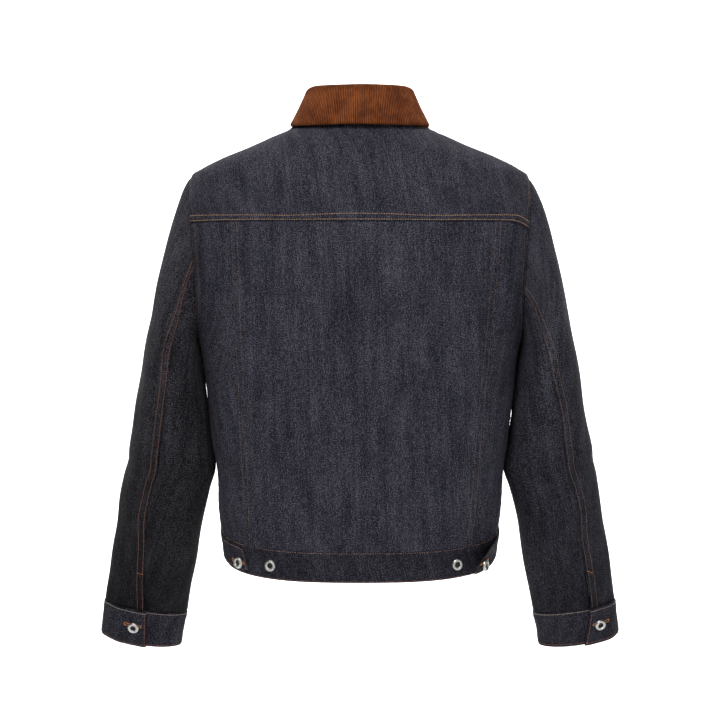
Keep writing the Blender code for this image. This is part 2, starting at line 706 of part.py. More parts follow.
def cuff(sleeve, label):
    """A band round the wrist whose outer end laps over its inner one, behind, in line with the rear seam."""
    bottom_v = 2 + CUFF_HEIGHT / abs(CUFF_TOP_Z - SLEEVE[0].z)
    v = np.linspace(2.0, bottom_v, 4)[:, None]
    share = np.linspace(0, 1, 33)
    end = sleeve.rear_seam(v[:, 0])[:, None] + CUFF_END_PAST
    turn = end - (360 + CUFF_LAP) * (1 - share)
    grid = drawn_in(pairs(turn, v), sleeve.face)
    lift = BAND_PROUD + (BAND_CLOTH + SEAM_GAP) * lap_lift(share, CUFF_LAP / (360 + CUFF_LAP))
    outer = sleeve.out(grid[..., 0], grid[..., 1], lift)
    inner = sleeve.out(grid[..., 0], grid[..., 1], lift - BAND_CLOTH)
    wall(f"cuff_{label}", outer, inner, DENIM)
    place_v = np.array([2 + (bottom_v - 2) * CUFF_BUTTON_SHARE])
    place_turn = sleeve.rear_seam(place_v) + CUFF_END_PAST - CUFF_BUTTON_BACK
    seat = sleeve.out(place_turn, place_v, BAND_PROUD + BAND_CLOTH)[0]
    normal = sleeve.side * face_normals(sleeve.face, place_turn, place_v, 0.5, 0.004)[0]
    button(f"button_cuff_{label}", seat, normal)


def band_grid(u, rows):
    share = np.linspace(0, 1, rows + 1)[:, None]
    return pairs(u[None, :], hem_z(u)[None, :] + (BAND_HEIGHT - SEAM_GAP) * share)


def waistband():
    """One strip round the hem. Its left end laps over its right one at centre front."""
    middle_z = float(hem_z(1.0)) + BAND_HEIGHT / 2
    under_u = float(u_at(middle_z, 0, -BAND_LAP_X, *FRONT_U)[0])
    over_u = -2 + float(u_at(middle_z, 0, BAND_LAP_X, *FRONT_U)[0])
    share = np.linspace(0, 1, 61)
    u = under_u + (over_u - under_u) * share
    grid = band_grid(u, 2)
    lift = BAND_PROUD + (BAND_CLOTH + SEAM_GAP) * lap_lift(share, (under_u - over_u - 2) / (under_u - over_u))
    outer = torso_out(grid[..., 0], grid[..., 1], lift)
    inner = torso_out(grid[..., 0], grid[..., 1], lift - BAND_CLOTH)
    wall("waistband", outer, inner, DENIM)
    band_button("button_waist_front", 0.0, FRONT_U, 2 * BAND_PROUD + BAND_CLOTH)
    for label, x in zip(("left", "right"), BAND_BUTTONS_X):
        band_button(f"button_waist_{label}", x, (-0.5, 0.5), BAND_PROUD)


def band_button(name, x, limits, height):
    """A button just below the middle of the waistband's height, at a given x."""
    above_hem = BAND_HEIGHT / 2 - BAND_BUTTON_DROP
    u = u_at(float(hem_z(0.0)) + above_hem, 0, x, *limits)
    z = hem_z(u) + above_hem
    normal = face_normals(torso, u, z, 0.002, 0.0005)[0]
    button(name, torso_out(u, z, height)[0], normal)


def tab_lift(tab, share):
    """How far a tab's outer face stands over the body at a share of its length."""
    loose = np.clip((share - TAB_LOOSE_FROM) / (1 - TAB_LOOSE_FROM), 0, 1)
    return BAND_PROUD + SEAM_GAP + TAB_CLOTH + tab.stand_off * loose**2


def waist_tab(tab):
    """A side tab lying on the waistband, from the side seam to its own slanted end."""
    share = np.linspace(0, 1, 11)
    low = hem_z(TAB_LEVEL_U) + TAB_MARGIN
    high = hem_z(TAB_LEVEL_U) + BAND_HEIGHT - TAB_MARGIN
    lower_u = float(u_at(low, 0, tab.lower_x, 0.0, 0.5)[0])
    upper_u = float(u_at(high, 0, tab.upper_x, 0.0, 0.5)[0])
    rows = np.linspace(0, 1, 4)[:, None]
    end_u = lower_u + (upper_u - lower_u) * rows
    u = tab.root_u + (end_u - tab.root_u) * share[None, :]
    height = BAND_HEIGHT - 2 * TAB_MARGIN
    rounding = TAB_ROUNDING * height * np.clip((share - TAB_ROUND_FROM) / (1 - TAB_ROUND_FROM), 0, 1) ** 2
    z = hem_z(u) + TAB_MARGIN + rounding + (height - 2 * rounding) * rows
    lift = tab_lift(tab, share)
    outer = torso_out(tab.side * u, z, lift)
    inner = torso_out(tab.side * u, z, lift - TAB_CLOTH)
    label = "left" if tab.side < 0 else "right"
    wall(f"waist_tab_{label}", outer, inner, DENIM)
    middle = BAND_HEIGHT / 2 - tab.button_drop
    place_u = float(u_at(hem_z(TAB_LEVEL_U) + middle, 0, tab.button_x, 0.0, 0.5)[0])
    place_z = hem_z(place_u) + middle
    place_us = place_u + TAB_REACH_U * np.array([1, 0, -1])
    lifts = tab_lift(tab, (tab.root_u - place_us) / (tab.root_u - (lower_u + upper_u) / 2))
    behind, seat, ahead = torso_out(tab.side * place_us, np.full(3, place_z), lifts)
    normal = tab.side * np.cross((0, 0, 1), ahead - behind)
    normal /= np.linalg.norm(normal)
    button(f"button_tab_{label}", seat + TAB_BUTTON_RISE * normal, normal)


def neck_point(along):
    """Points on the neck seam: 0 at centre back, 0.5 at the right shoulder seam, 1 at the right front end."""
    along = np.asarray(along, float)
    side = np.where(along < 0, -1.0, 1.0)
    far = np.abs(along)
    back = neck_back(along + 0.5)
    front = neck_front(1, COLLAR_END_X)(np.clip(far - 0.5, 0, 0.5) * 2)
    behind = (far <= 0.5)[:, None]
    uz = np.where(behind, back, front * np.stack([side, np.ones_like(side)], axis=-1))
    return torso(uz[:, 0], uz[:, 1])


def collar_sections(along, stand_steps=3, bend_steps=4, fall_steps=4):
    """The collar's middle line at places along the neck, from the stand's foot to the fall's edge."""
    foot = neck_point(along)
    ahead, behind = neck_point(along + 0.01), neck_point(along - 0.01)
    run = ahead - behind
    out = np.stack([run[:, 1], -run[:, 0], np.zeros(len(run))], axis=-1)
    out /= np.linalg.norm(out, axis=1, keepdims=True)
    out[np.abs(along) < 0.001] = (0, -1, 0)
    rise, fold_in, edge_out, edge_rise = profile(COLLAR, np.abs(along)).T
    radius = COLLAR_FOLD_RADIUS
    half = COLLAR_CLOTH / 2
    stand_foot = np.stack([-half - COLLAR_FOOT_IN + 0 * rise, COLLAR_FOOT_RISE + 0 * rise])
    centre = np.stack([-fold_in - half - radius, rise - radius - half])
    stand_top = centre + np.array([[-radius], [0]])
    fall_top = centre + np.array([[radius], [0]])
    fall_edge = np.stack([edge_out - half, edge_rise])
    line = [stand_foot + (stand_top - stand_foot) * t for t in np.linspace(0, 1, stand_steps + 1)]
    line += [
        centre + radius * np.array([[-math.cos(a)], [math.sin(a)]])
        for a in np.linspace(0, math.pi, bend_steps + 1)[1:-1]
    ]
    line += [fall_top + (fall_edge - fall_top) * t for t in np.linspace(0, 1, fall_steps + 1)]
    sections = []
    for sideways, upward in line:
        sections.append(foot + sideways[:, None] * out + upward[:, None] * np.array([0, 0, 1.0]))
    return np.stack(sections)


def collar():
    """Corduroy stand and fall in one folded wall."""
    along = np.linspace(-1, 1, 37)
    middle = collar_sections(along)
    down = np.gradient(middle, axis=0)
    across = np.gradient(middle, axis=1)
    normal = np.cross(across, down)
    normal /= np.linalg.norm(normal, axis=-1, keepdims=True)
    wall("collar", middle + normal * COLLAR_CLOTH / 2, middle - normal * COLLAR_CLOTH / 2, CORDUROY)


BUTTON_PROFILE = (  # radius and height as shares of the button's radius, from its middle round to its base
    (0.28, 0.16),
    (0.46, 0.36),
    (0.72, 0.46),
    (0.93, 0.34),
    (1.00, 0.14),
    (0.94, 0.00),
)
BUTTON_SIDES = 14


def button(name, seat, normal):
    """A donut button with a sunk middle, its base just above seat."""
    mesh = bpy.data.meshes.get("button")
    if mesh is None:
        mesh = bpy.data.meshes.new("button")
        form = bmesh.new()
        rings = []
        for radius, height in BUTTON_PROFILE:
            angles = [2 * math.pi * k / BUTTON_SIDES for k in range(BUTTON_SIDES)]
            ring = [Vector((radius * math.cos(a), radius * math.sin(a), height)) for a in angles]
            rings.append([form.verts.new(BUTTON_RADIUS * point) for point in ring])
        form.faces.new(rings[0])
        form.faces.new(reversed(rings[-1]))
        for upper, lower in zip(rings, rings[1:]):
            for k in range(BUTTON_SIDES):
                n = (k + 1) % BUTTON_SIDES
                form.faces.new((upper[k], lower[k], lower[n], upper[n]))
        bmesh.ops.recalc_face_normals(form, faces=form.faces)
        form.to_mesh(mesh)
        form.free()
        mesh.materials.append(material(METAL))
    made = bpy.data.objects.new(name, mesh)
    bpy.context.scene.collection.objects.link(made)
    turn = Vector(normal).to_track_quat("Z", "Y").to_matrix().to_4x4()
    made.matrix_world = Matrix.Translation(Vector(seat + BUTTON_LIFT * normal)) @ turn


def front_buttons():
    height = SEAM_GAP + CLOTH
    for number, z in enumerate(FRONT_BUTTONS_Z, start=1):
        u = u_at(z, 0, 0.0, *FRONT_U)
        z = np.array([z])
        normal = face_normals(torso, u, z, 0.002, 0.0005)[0]
        button(f"button_front_{number}", torso_out(u, z, height)[0], normal)


def main():
    for old in list(bpy.data.objects):
        bpy.data.objects.remove(old, do_unlink=True)
    back_panels()
    fronts()
    for label, side in (("left", -1), ("right", 1)):
        sleeve = Sleeve(side)
        sleeve_panels(sleeve, label)
        cuff(sleeve, label)
    waistband()
    for tab in WAIST_TABS:
        waist_tab(tab)
    collar()
    front_buttons()


main()
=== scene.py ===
"""Denim trucker jacket with a corduroy collar: cloth, sewing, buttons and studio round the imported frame.

Metres, +Z up. The jacket's back faces -Y and its front +Y, so the wearer's right is +X. The origin is
in the middle of the neck, level with the back neck seam. The tables and the faces torso(u, z) and
Sleeve.face(turn, v) are those of the jacket's solids; each panel of cloth here is a fine shell on them.
"""

import math
from collections import namedtuple

import bmesh
import bpy
import numpy as np
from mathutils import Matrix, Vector


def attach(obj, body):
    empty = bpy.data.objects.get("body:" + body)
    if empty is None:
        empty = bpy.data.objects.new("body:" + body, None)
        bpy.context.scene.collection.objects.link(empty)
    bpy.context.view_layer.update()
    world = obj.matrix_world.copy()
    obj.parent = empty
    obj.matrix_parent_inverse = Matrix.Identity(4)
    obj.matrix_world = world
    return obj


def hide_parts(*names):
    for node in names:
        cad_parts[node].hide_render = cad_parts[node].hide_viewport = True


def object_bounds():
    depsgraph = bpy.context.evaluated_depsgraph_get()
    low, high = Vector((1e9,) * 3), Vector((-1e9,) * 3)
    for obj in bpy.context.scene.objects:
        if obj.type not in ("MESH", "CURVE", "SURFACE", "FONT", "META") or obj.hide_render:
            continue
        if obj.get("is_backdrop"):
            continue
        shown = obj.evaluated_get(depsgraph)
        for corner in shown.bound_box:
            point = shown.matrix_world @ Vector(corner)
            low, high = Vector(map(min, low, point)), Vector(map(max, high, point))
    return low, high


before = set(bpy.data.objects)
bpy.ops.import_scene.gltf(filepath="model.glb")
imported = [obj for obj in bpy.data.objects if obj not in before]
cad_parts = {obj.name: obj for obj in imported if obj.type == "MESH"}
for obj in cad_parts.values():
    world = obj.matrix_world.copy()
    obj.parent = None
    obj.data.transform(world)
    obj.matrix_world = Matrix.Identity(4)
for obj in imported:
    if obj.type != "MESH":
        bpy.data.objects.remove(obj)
cad_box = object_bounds()

# The solids' thicknesses and small sizes
CLOTH = 0.0016
BAND_CLOTH = 0.0030
TAB_CLOTH = 0.0024
COLLAR_CLOTH = 0.0030
SEAM_GAP = 0.0003
BAND_PROUD = 0.0006
BUTTON_RADIUS = 0.0078

# Body: rings down the torso. Widths and depths are from the line through both sides.
TorsoRing = namedtuple("TorsoRing", "z half_width back_depth front_depth squareness")
TORSO = (
    TorsoRing(0.0200, 0.0640, 0.0450, 0.0360, 2.1),
    TorsoRing(0.0055, 0.0890, 0.0560, 0.0420, 2.2),
    TorsoRing(0.0000, 0.0955, 0.0610, 0.0460, 2.2),
    TorsoRing(-0.0137, 0.1250, 0.0740, 0.0560, 2.3),
    TorsoRing(-0.0274, 0.1558, 0.0830, 0.0640, 2.4),
    TorsoRing(-0.0411, 0.1890, 0.0900, 0.0700, 2.5),
    TorsoRing(-0.0548, 0.2148, 0.0955, 0.0755, 2.6),
    TorsoRing(-0.0644, 0.2276, 0.0980, 0.0785, 2.7),
    TorsoRing(-0.0800, 0.2320, 0.1020, 0.0835, 2.9),
    TorsoRing(-0.1100, 0.2345, 0.1070, 0.0910, 3.1),
    TorsoRing(-0.1600, 0.2340, 0.1110, 0.1030, 3.1),
    TorsoRing(-0.2180, 0.2280, 0.1130, 0.1110, 3.0),
    TorsoRing(-0.2710, 0.2200, 0.1130, 0.1150, 2.9),
    TorsoRing(-0.3190, 0.2135, 0.1120, 0.1160, 2.8),
    TorsoRing(-0.3590, 0.2090, 0.1105, 0.1150, 2.7),
    TorsoRing(-0.4250, 0.2010, 0.1070, 0.1110, 2.6),
    TorsoRing(-0.4660, 0.1946, 0.1055, 0.1085, 2.5),
    TorsoRing(-0.5070, 0.1922, 0.1040, 0.1060, 2.5),
    TorsoRing(-0.5480, 0.1872, 0.1030, 0.1040, 2.4),
    TorsoRing(-0.5890, 0.1820, 0.1025, 0.1025, 2.4),
    TorsoRing(-0.6300, 0.1805, 0.1020, 0.1020, 2.4),
)

# Seams of the body
NECK_BACK_Z = -0.0010
NECK_SIDE_Z = 0.0055
NECK_SIDE_X = 0.0890
NECK_FRONT_Z = -0.0800
NECK_BACK_CURVE = 3.0
NECK_FRONT_CURVE = 2.2
SHOULDER_TIP_Z = -0.0644
UNDERARM_Z = -0.2900
ARMHOLE_BACK = 0.058
ARMHOLE_FRONT = 0.072
YOKE_SEAM_Z = -0.1335
YOKE_BOW = 0.0015
YOKE_DROP = 0.0120
YOKE_DROP_START_X = 0.2000
YOKE_DROP_WIDTH = 0.0280
HEM_BACK_Z = -0.6065
HEM_SIDE_Z = -0.5800
HEM_FRONT_Z = -0.5945
HEM_BACK_CURVE = 3.2
HEM_FRONT_CURVE = 1.6
BAND_HEIGHT = 0.0400

BackSeam = namedtuple("BackSeam", "z left_x right_x")
BACK_SEAMS = (
    BackSeam(-0.1000, -0.1720, 0.1890),
    BackSeam(-0.1390, -0.1707, 0.1870),
    BackSeam(-0.2130, -0.1675, 0.1805),
    BackSeam(-0.2780, -0.1650, 0.1747),
    BackSeam(-0.3490, -0.1620, 0.1676),
    BackSeam(-0.4250, -0.1588, 0.1610),
    BackSeam(-0.4980, -0.1558, 0.1552),
    BackSeam(-0.5500, -0.1530, 0.1493),
    BackSeam(-0.6000, -0.1510, 0.1460),
)

# The largest soft folds of the back: middle, half length along the fold, half width, lean from upright, depth
Fold = namedtuple("Fold", "x z half_length half_width lean depth")
BACK_FOLDS = (
    Fold(0.121, -0.215, 0.060, 0.014, 4.0, -0.0035),
    Fold(0.150, -0.235, 0.070, 0.016, 6.0, 0.0025),
    Fold(-0.125, -0.250, 0.080, 0.018, -5.0, -0.0025),
    Fold(-0.030, -0.430, 0.070, 0.030, 12.0, -0.0025),
    Fold(0.060, -0.490, 0.050, 0.024, -20.0, -0.0030),
    Fold(-0.090, -0.510, 0.040, 0.020, 25.0, -0.0025),
)

# Sleeve: rings down the arm. roll lifts the outer side, pitch drops the rear side.
SleeveRing = namedtuple("SleeveRing", "z x y half_width half_depth roll pitch")
SLEEVE = (
    SleeveRing(-0.3150, 0.2550, -0.0020, 0.0405, 0.0800, 3.0, 0.0),
    SleeveRing(-0.3700, 0.2563, -0.0040, 0.0486, 0.0715, 5.0, 2.0),
    SleeveRing(-0.4110, 0.2570, -0.0010, 0.0547, 0.0640, 6.5, 5.0),
    SleeveRing(-0.4520, 0.2574, 0.0030, 0.0608, 0.0560, 8.0, 9.0),
    SleeveRing(-0.4800, 0.2650, 0.0070, 0.0601, 0.0515, 9.0, 12.0),
    SleeveRing(-0.5081, 0.2715, 0.0130, 0.0595, 0.0480, 9.5, 15.0),
    SleeveRing(-0.5505, 0.2791, 0.0240, 0.0592, 0.0440, 9.5, 17.0),
    SleeveRing(-0.5935, 0.2875, 0.0360, 0.0592, 0.0395, 9.5, 15.0),
    SleeveRing(-0.6225, 0.2934, 0.0440, 0.0588, 0.0355, 9.0, 12.0),
    SleeveRing(-0.6518, 0.2990, 0.0530, 0.0583, 0.0310, 8.5, 8.0),
    SleeveRing(-0.6812, 0.3045, 0.0610, 0.0574, 0.0270, 8.5, 12.0),
    SleeveRing(-0.7200, 0.3110, 0.0730, 0.0565, 0.0250, 8.5, 19.0),
)
CUFF_TOP_Z = -0.6585
CUFF_HEIGHT = 0.0475

# How the sleeve leaves the armhole: the direction and pull of its cloth at four places round the seam
HEAD_TOP = (0.075, 0.000, -0.050)
HEAD_BACK = (0.050, -0.050, -0.050)
HEAD_UNDER = (0.012, 0.000, 0.004)
HEAD_FRONT = (0.050, 0.045, -0.050)

# Sleeve seams: angle round the sleeve at a place down it, rear ones on each side and the hidden front one
SleeveSeam = namedtuple("SleeveSeam", "v left_rear right_rear front")
SLEEVE_SEAMS = (
    SleeveSeam(0.00, 97.0, 116.0, 255.0),
    SleeveSeam(0.50, 105.0, 112.0, 257.0),
    SleeveSeam(1.00, 95.0, 96.0, 260.0),
    SleeveSeam(1.21, 85.0, 78.0, 262.0),
    SleeveSeam(1.41, 77.0, 70.0, 264.0),
    SleeveSeam(1.57, 74.5, 66.0, 265.0),
    SleeveSeam(1.72, 79.0, 68.5, 265.0),
    SleeveSeam(1.85, 84.0, 68.5, 265.0),
    SleeveSeam(2.00, 91.5, 70.0, 265.0),
    SleeveSeam(2.15, 97.5, 83.0, 265.0),
)
CUFF_LAP = 28.0
CUFF_END_PAST = 3.0
LAP_RISE_START = 2.4
LAP_RISE_LENGTH = 1.2

# Collar: sections from centre back (0) past the shoulder seam (0.5) to its front end (1)
CollarSection = namedtuple("CollarSection", "along fold_rise fold_in edge_out edge_rise")
COLLAR = (
    CollarSection(0.00, 0.0554, 0.0035, 0.0140, -0.0010),
    CollarSection(0.25, 0.0545, 0.0065, 0.0120, -0.0015),
    CollarSection(0.50, 0.0430, 0.0162, 0.0056, -0.0008),
    CollarSection(0.70, 0.0360, 0.0080, 0.0180, -0.0060),
    CollarSection(0.85, 0.0270, 0.0020, 0.0290, -0.0220),
    CollarSection(1.00, 0.0140, -0.0050, 0.0360, -0.0480),
)
COLLAR_FOLD_RADIUS = 0.0036
COLLAR_FOOT_IN = 0.0006
COLLAR_FOOT_RISE = 0.0016
COLLAR_END_X = 0.0070

# Front closing, the wearer's left over the right
PLACKET_LEFT_X = -0.0220
PLACKET_RIGHT_X = 0.0190
FRONT_MEET_X = -0.0140
BAND_LAP_X = 0.0190

# Waist tabs: where each starts, the upper and lower corner of its end, how far that end stands off, and its
# button's place, below the middle of the tab by button_drop
WaistTab = namedtuple("WaistTab", "side root_u upper_x lower_x stand_off button_x button_drop")
WAIST_TABS = (
    WaistTab(-1, 0.530, 0.1540, 0.1460, 0.0012, 0.1575, 0.0060),
    WaistTab(1, 0.530, 0.1560, 0.1365, 0.0205, 0.1520, 0.0060),
)
TAB_MARGIN = 0.0040
TAB_LEVEL_U = 0.40
TAB_ROUNDING = 0.10
TAB_ROUND_FROM = 0.88
TAB_LOOSE_FROM = 0.35

# Values of u between which a place on the front is looked for
FRONT_U = (0.5, 1.12)
UNDERARM_SHARE = 0.52


def profile(rows, at):
    """A table's other columns at values of its first one, along a smooth curve that never overshoots."""
    table = np.array(sorted(tuple(row) for row in rows))
    x, y = table[:, 0], table[:, 1:]
    step = np.diff(x)[:, None]
    slope = np.diff(y, axis=0) / step
    tangent = np.concatenate([slope[:1], np.zeros_like(slope[1:]), slope[-1:]])
    before, after = 2 * step[1:] + step[:-1], step[1:] + 2 * step[:-1]
    same_way = slope[1:] * slope[:-1] > 0
    low = np.where(same_way, slope[:-1], 1)
    high = np.where(same_way, slope[1:], 1)
    tangent[1:-1] = np.where(same_way, (before + after) / (before / low + after / high), 0)
    at = np.atleast_1d(at)
    k = np.clip(np.searchsorted(x, at, side="right") - 1, 0, len(x) - 2)
    t = ((at - x[k]) / (x[k + 1] - x[k]))[:, None]
    return (
        (1 + 2 * t) * (1 - t) ** 2 * y[k]
        + t * (1 - t) ** 2 * step[k] * tangent[k]
        + t**2 * (3 - 2 * t) * y[k + 1]
        - t**2 * (1 - t) * step[k] * tangent[k + 1]
    )


def quarter_arc(share, half_width, depth, squareness):
    """x and y at a share of the way, by length, from the depth axis of a superellipse to its width axis."""
    steps = 64
    turn = np.linspace(0, math.pi / 2, steps + 1)
    power = 2 / squareness[:, None]
    x = half_width[:, None] * np.sin(turn) ** power
    y = depth[:, None] * np.clip(np.cos(turn), 0, 1) ** power
    length = np.cumsum(np.hypot(np.diff(x), np.diff(y)), axis=1)
    length = np.concatenate([np.zeros((len(x), 1)), length], axis=1)
    target = share * length[:, -1]
    k = np.clip((length < target[:, None]).sum(axis=1) - 1, 0, steps - 1)
    row = np.arange(len(k))
    part = (target - length[row, k]) / (length[row, k + 1] - length[row, k])
    return (
        x[row, k] + part * (x[row, k + 1] - x[row, k]),
        y[row, k] + part * (y[row, k + 1] - y[row, k]),
    )


def fold_height(x, z, folds):
    """How far the soft folds lift the cloth at a place on the back."""
    height = np.zeros_like(x)
    for fold in folds:
        lean = math.radians(fold.lean)
        along = (z - fold.z) * math.cos(lean) + (x - fold.x) * math.sin(lean)
        across = (x - fold.x) * math.cos(lean) - (z - fold.z) * math.sin(lean)
        height += fold.depth * np.exp(-((along / fold.half_length) ** 2) - (across / fold.half_width) ** 2)
    return height


def torso(u, z):
    """Points on the body's outer face."""
    u, z = np.broadcast_arrays(np.asarray(u, float), np.asarray(z, float))
    shape = u.shape
    z = z.ravel()
    u = (u.ravel() + 1) % 2 - 1
    half_width, back, front, square = profile(TORSO, z).T
    to_side = np.abs(u) * 2
    behind = to_side <= 1
    depth = np.where(behind, back, front)
    x, y = quarter_arc(np.where(behind, to_side, 2 - to_side), half_width, depth, square)
    away_x = (x / half_width) ** (square - 1) / half_width
    away_y = (y / depth) ** (square - 1) / depth
    away = np.hypot(away_x, away_y)
    x = np.where(u < 0, -x, x)
    lift = np.where(behind, fold_height(x, z, BACK_FOLDS), 0)
    x = x + np.where(u < 0, -1, 1) * lift * away_x / away
    y = (y + lift * away_y / away) * np.where(behind, -1, 1)
    return np.stack([x, y, z], axis=-1).reshape(shape + (3,))


def u_at(z, axis, value, low, high):
    """Where round the body, between two values of u, its face passes a given x (axis 0) or y (axis 1)."""
    samples = np.linspace(low, high, 161)
    found = []
    for height, target in zip(*np.broadcast_arrays(np.atleast_1d(z), np.atleast_1d(value))):
        places = torso(samples, height)[:, axis]
        order = np.argsort(places)
        found.append(np.interp(target, places[order], samples[order]))
    return np.array(found)


def face_normals(face, a, b, step_a, step_b):
    """Unit normals of a face(a, b), out of the cloth."""
    across = face(a + step_a, b) - face(a - step_a, b)
    along = face(a, b + step_b) - face(a, b - step_b)
    normal = np.cross(across, along)
    return normal / np.linalg.norm(normal, axis=-1, keepdims=True)


def torso_out(u, z, height):
    """Points at a height above the body's outer face, or below it where that is negative."""
    return torso(u, z) + np.asarray(height)[..., None] * face_normals(torso, u, z, 0.002, 0.0005)


# Seam lines, as functions of a share of their length, each giving (u, z) pairs


def pairs(u, z):
    return np.stack(np.broadcast_arrays(u, z), axis=-1)


def chain(*parts):
    """One line from several, each given with the share at which it starts."""

    def line(share):
        starts = [start for start, _ in parts] + [1.0]
        result = np.zeros((len(share), 2))
        for (start, part), end in zip(parts, starts[1:]):
            inside = (share >= start - 1e-9) & (share <= end + 1e-9)
            result[inside] = part((share[inside] - start) / (end - start))
        return result

    return line


def reverse(line):
    return lambda share: line(1 - share)


def armhole_uz(turn, side):
    """The armhole seam at angles round it: 0 at the shoulder tip, 90 behind, 180 under the arm."""
    turn = np.radians(turn)
    middle, half = (SHOULDER_TIP_Z + UNDERARM_Z) / 2, (SHOULDER_TIP_Z - UNDERARM_Z) / 2
    z = middle + half * np.cos(turn)
    sine = np.sin(turn)
    y = -np.where(sine > 0, ARMHOLE_BACK, ARMHOLE_FRONT) * sine
    return pairs(side * u_at(z, 1, y, 0.0, 1.0), z)


ARMHOLE_POINTS = {}


def armhole_points(turn):
    """Points on the right armhole seam, read off a chain of them one degree apart."""
    if not ARMHOLE_POINTS:
        turns = np.arange(0.0, 361.0)
        seam = armhole_uz(turns, 1)
        ARMHOLE_POINTS.update(turns=turns, points=torso(seam[:, 0], seam[:, 1]))
    turns, points = ARMHOLE_POINTS["turns"], ARMHOLE_POINTS["points"]
    turn = np.asarray(turn) % 360
    return np.stack([np.interp(turn, turns, column) for column in points.T], axis=-1)


def armhole(side, turns):
    """The stretch of the armhole through these angles, which share its length out evenly."""
    return lambda share: armhole_uz(np.interp(share, np.linspace(0, 1, len(turns)), turns), side)


def hem_z(u):
    u = np.abs((np.asarray(u, float) + 1) % 2 - 1)
    behind = HEM_BACK_Z + (HEM_SIDE_Z - HEM_BACK_Z) * (np.minimum(u, 0.5) / 0.5) ** HEM_BACK_CURVE
    return behind + (HEM_FRONT_Z - HEM_SIDE_Z) * (np.maximum(u - 0.5, 0) / 0.5) ** HEM_FRONT_CURVE


def waist_line(start_u, end_u):
    def line(share):
        u = start_u + (end_u - start_u) * share
        return pairs(u, hem_z(u) + BAND_HEIGHT)

    return line


def yoke_z(x):
    """The yoke seam's height: nearly level, dropping close to the right armhole."""
    drop = np.clip((x - YOKE_DROP_START_X) / YOKE_DROP_WIDTH, 0, 1)
    return YOKE_SEAM_Z + YOKE_BOW * (x / YOKE_DROP_START_X) ** 2 - YOKE_DROP * drop**2


def yoke_line(start_x, end_x):
    def line(share):
        x = start_x + (end_x - start_x) * share
        z = yoke_z(x)
        return pairs(u_at(z, 0, x, -0.5, 0.5), z)

    return line


def yoke_end(side):
    """x and angle round the armhole where the yoke seam runs into it."""
    turns = np.linspace(40, 120, 161)
    line = armhole_uz(turns, side)
    x = torso(line[:, 0], line[:, 1])[:, 0]
    above = line[:, 1] - yoke_z(x)
    turn = float(np.interp(0, -above, turns))
    return float(np.interp(turn, turns, x)), turn


def back_seam_u(side, z):
    x = profile(BACK_SEAMS, z)[:, 0 if side < 0 else 1]
    return u_at(z, 0, x, -0.5, 0.5)


def back_seam(side):
    """A back panel seam from the waistband up to the yoke."""
    top_x = float(profile(BACK_SEAMS, YOKE_SEAM_Z)[0, 0 if side < 0 else 1])
    top_z = float(yoke_z(top_x))
    foot_u = float(back_seam_u(side, np.array([HEM_BACK_Z + BAND_HEIGHT]))[0])
    foot_z = float(hem_z(foot_u)) + BAND_HEIGHT
    foot_u = float(back_seam_u(side, np.array([foot_z]))[0])

    def line(share):
        z = foot_z + (top_z - foot_z) * share
        return pairs(back_seam_u(side, z), z)

    return line, foot_u, top_x


def side_seam(side):
    """From the waistband up to the underarm."""
    foot_z = float(hem_z(0.5)) + BAND_HEIGHT
    top_u, top_z = armhole_uz(np.array([180.0]), 1)[0]

    def line(share):
        return pairs(side * (0.5 + (top_u - 0.5) * share), foot_z + (top_z - foot_z) * share)

    return line


def shoulder_seam(side):
    """From the shoulder tip up to the neck."""
    return lambda share: pairs(side * 0.5, SHOULDER_TIP_Z + (NECK_SIDE_Z - SHOULDER_TIP_Z) * share)


def neck_back(share):
    u = share - 0.5
    return pairs(u, NECK_BACK_Z + (NECK_SIDE_Z - NECK_BACK_Z) * (2 * np.abs(u)) ** NECK_BACK_CURVE)


def neck_front(side, end_x):
    """From the shoulder seam down to the front edge."""

    def line(share):
        x = NECK_SIDE_X + (side * end_x - NECK_SIDE_X) * share
        z = NECK_FRONT_Z + (NECK_SIDE_Z - NECK_FRONT_Z) * (np.abs(x) / NECK_SIDE_X) ** NECK_FRONT_CURVE
        return pairs(side * u_at(z, 0, x, *FRONT_U), z)

    return line


def front_edge(side, end_x):
    """The front's own edge, from the waistband up to the neck."""

    foot_z = float(hem_z(u_at(HEM_FRONT_Z + BAND_HEIGHT, 0, side * end_x, *FRONT_U)[0])) + BAND_HEIGHT

    def line(share):
        z = foot_z + (NECK_FRONT_Z - foot_z) * share
        return pairs(side * u_at(z, 0, side * end_x * np.ones_like(z), *FRONT_U), z)

    return line


def coons(bottom, top, left, right, s, r):
    """A grid of (u, z) pairs filling the space between four lines, at shares s across and r up."""
    low, high = bottom(s)[None], top(s)[None]
    first, last = left(r)[:, None], right(r)[:, None]
    s, r = s[None, :, None], r[:, None, None]
    left_corners = (1 - r) * low[:, :1] + r * high[:, :1]
    right_corners = (1 - r) * low[:, -1:] + r * high[:, -1:]
    across, up = (1 - s) * first + s * last, (1 - r) * low + r * high
    return across + up - (1 - s) * left_corners - s * right_corners


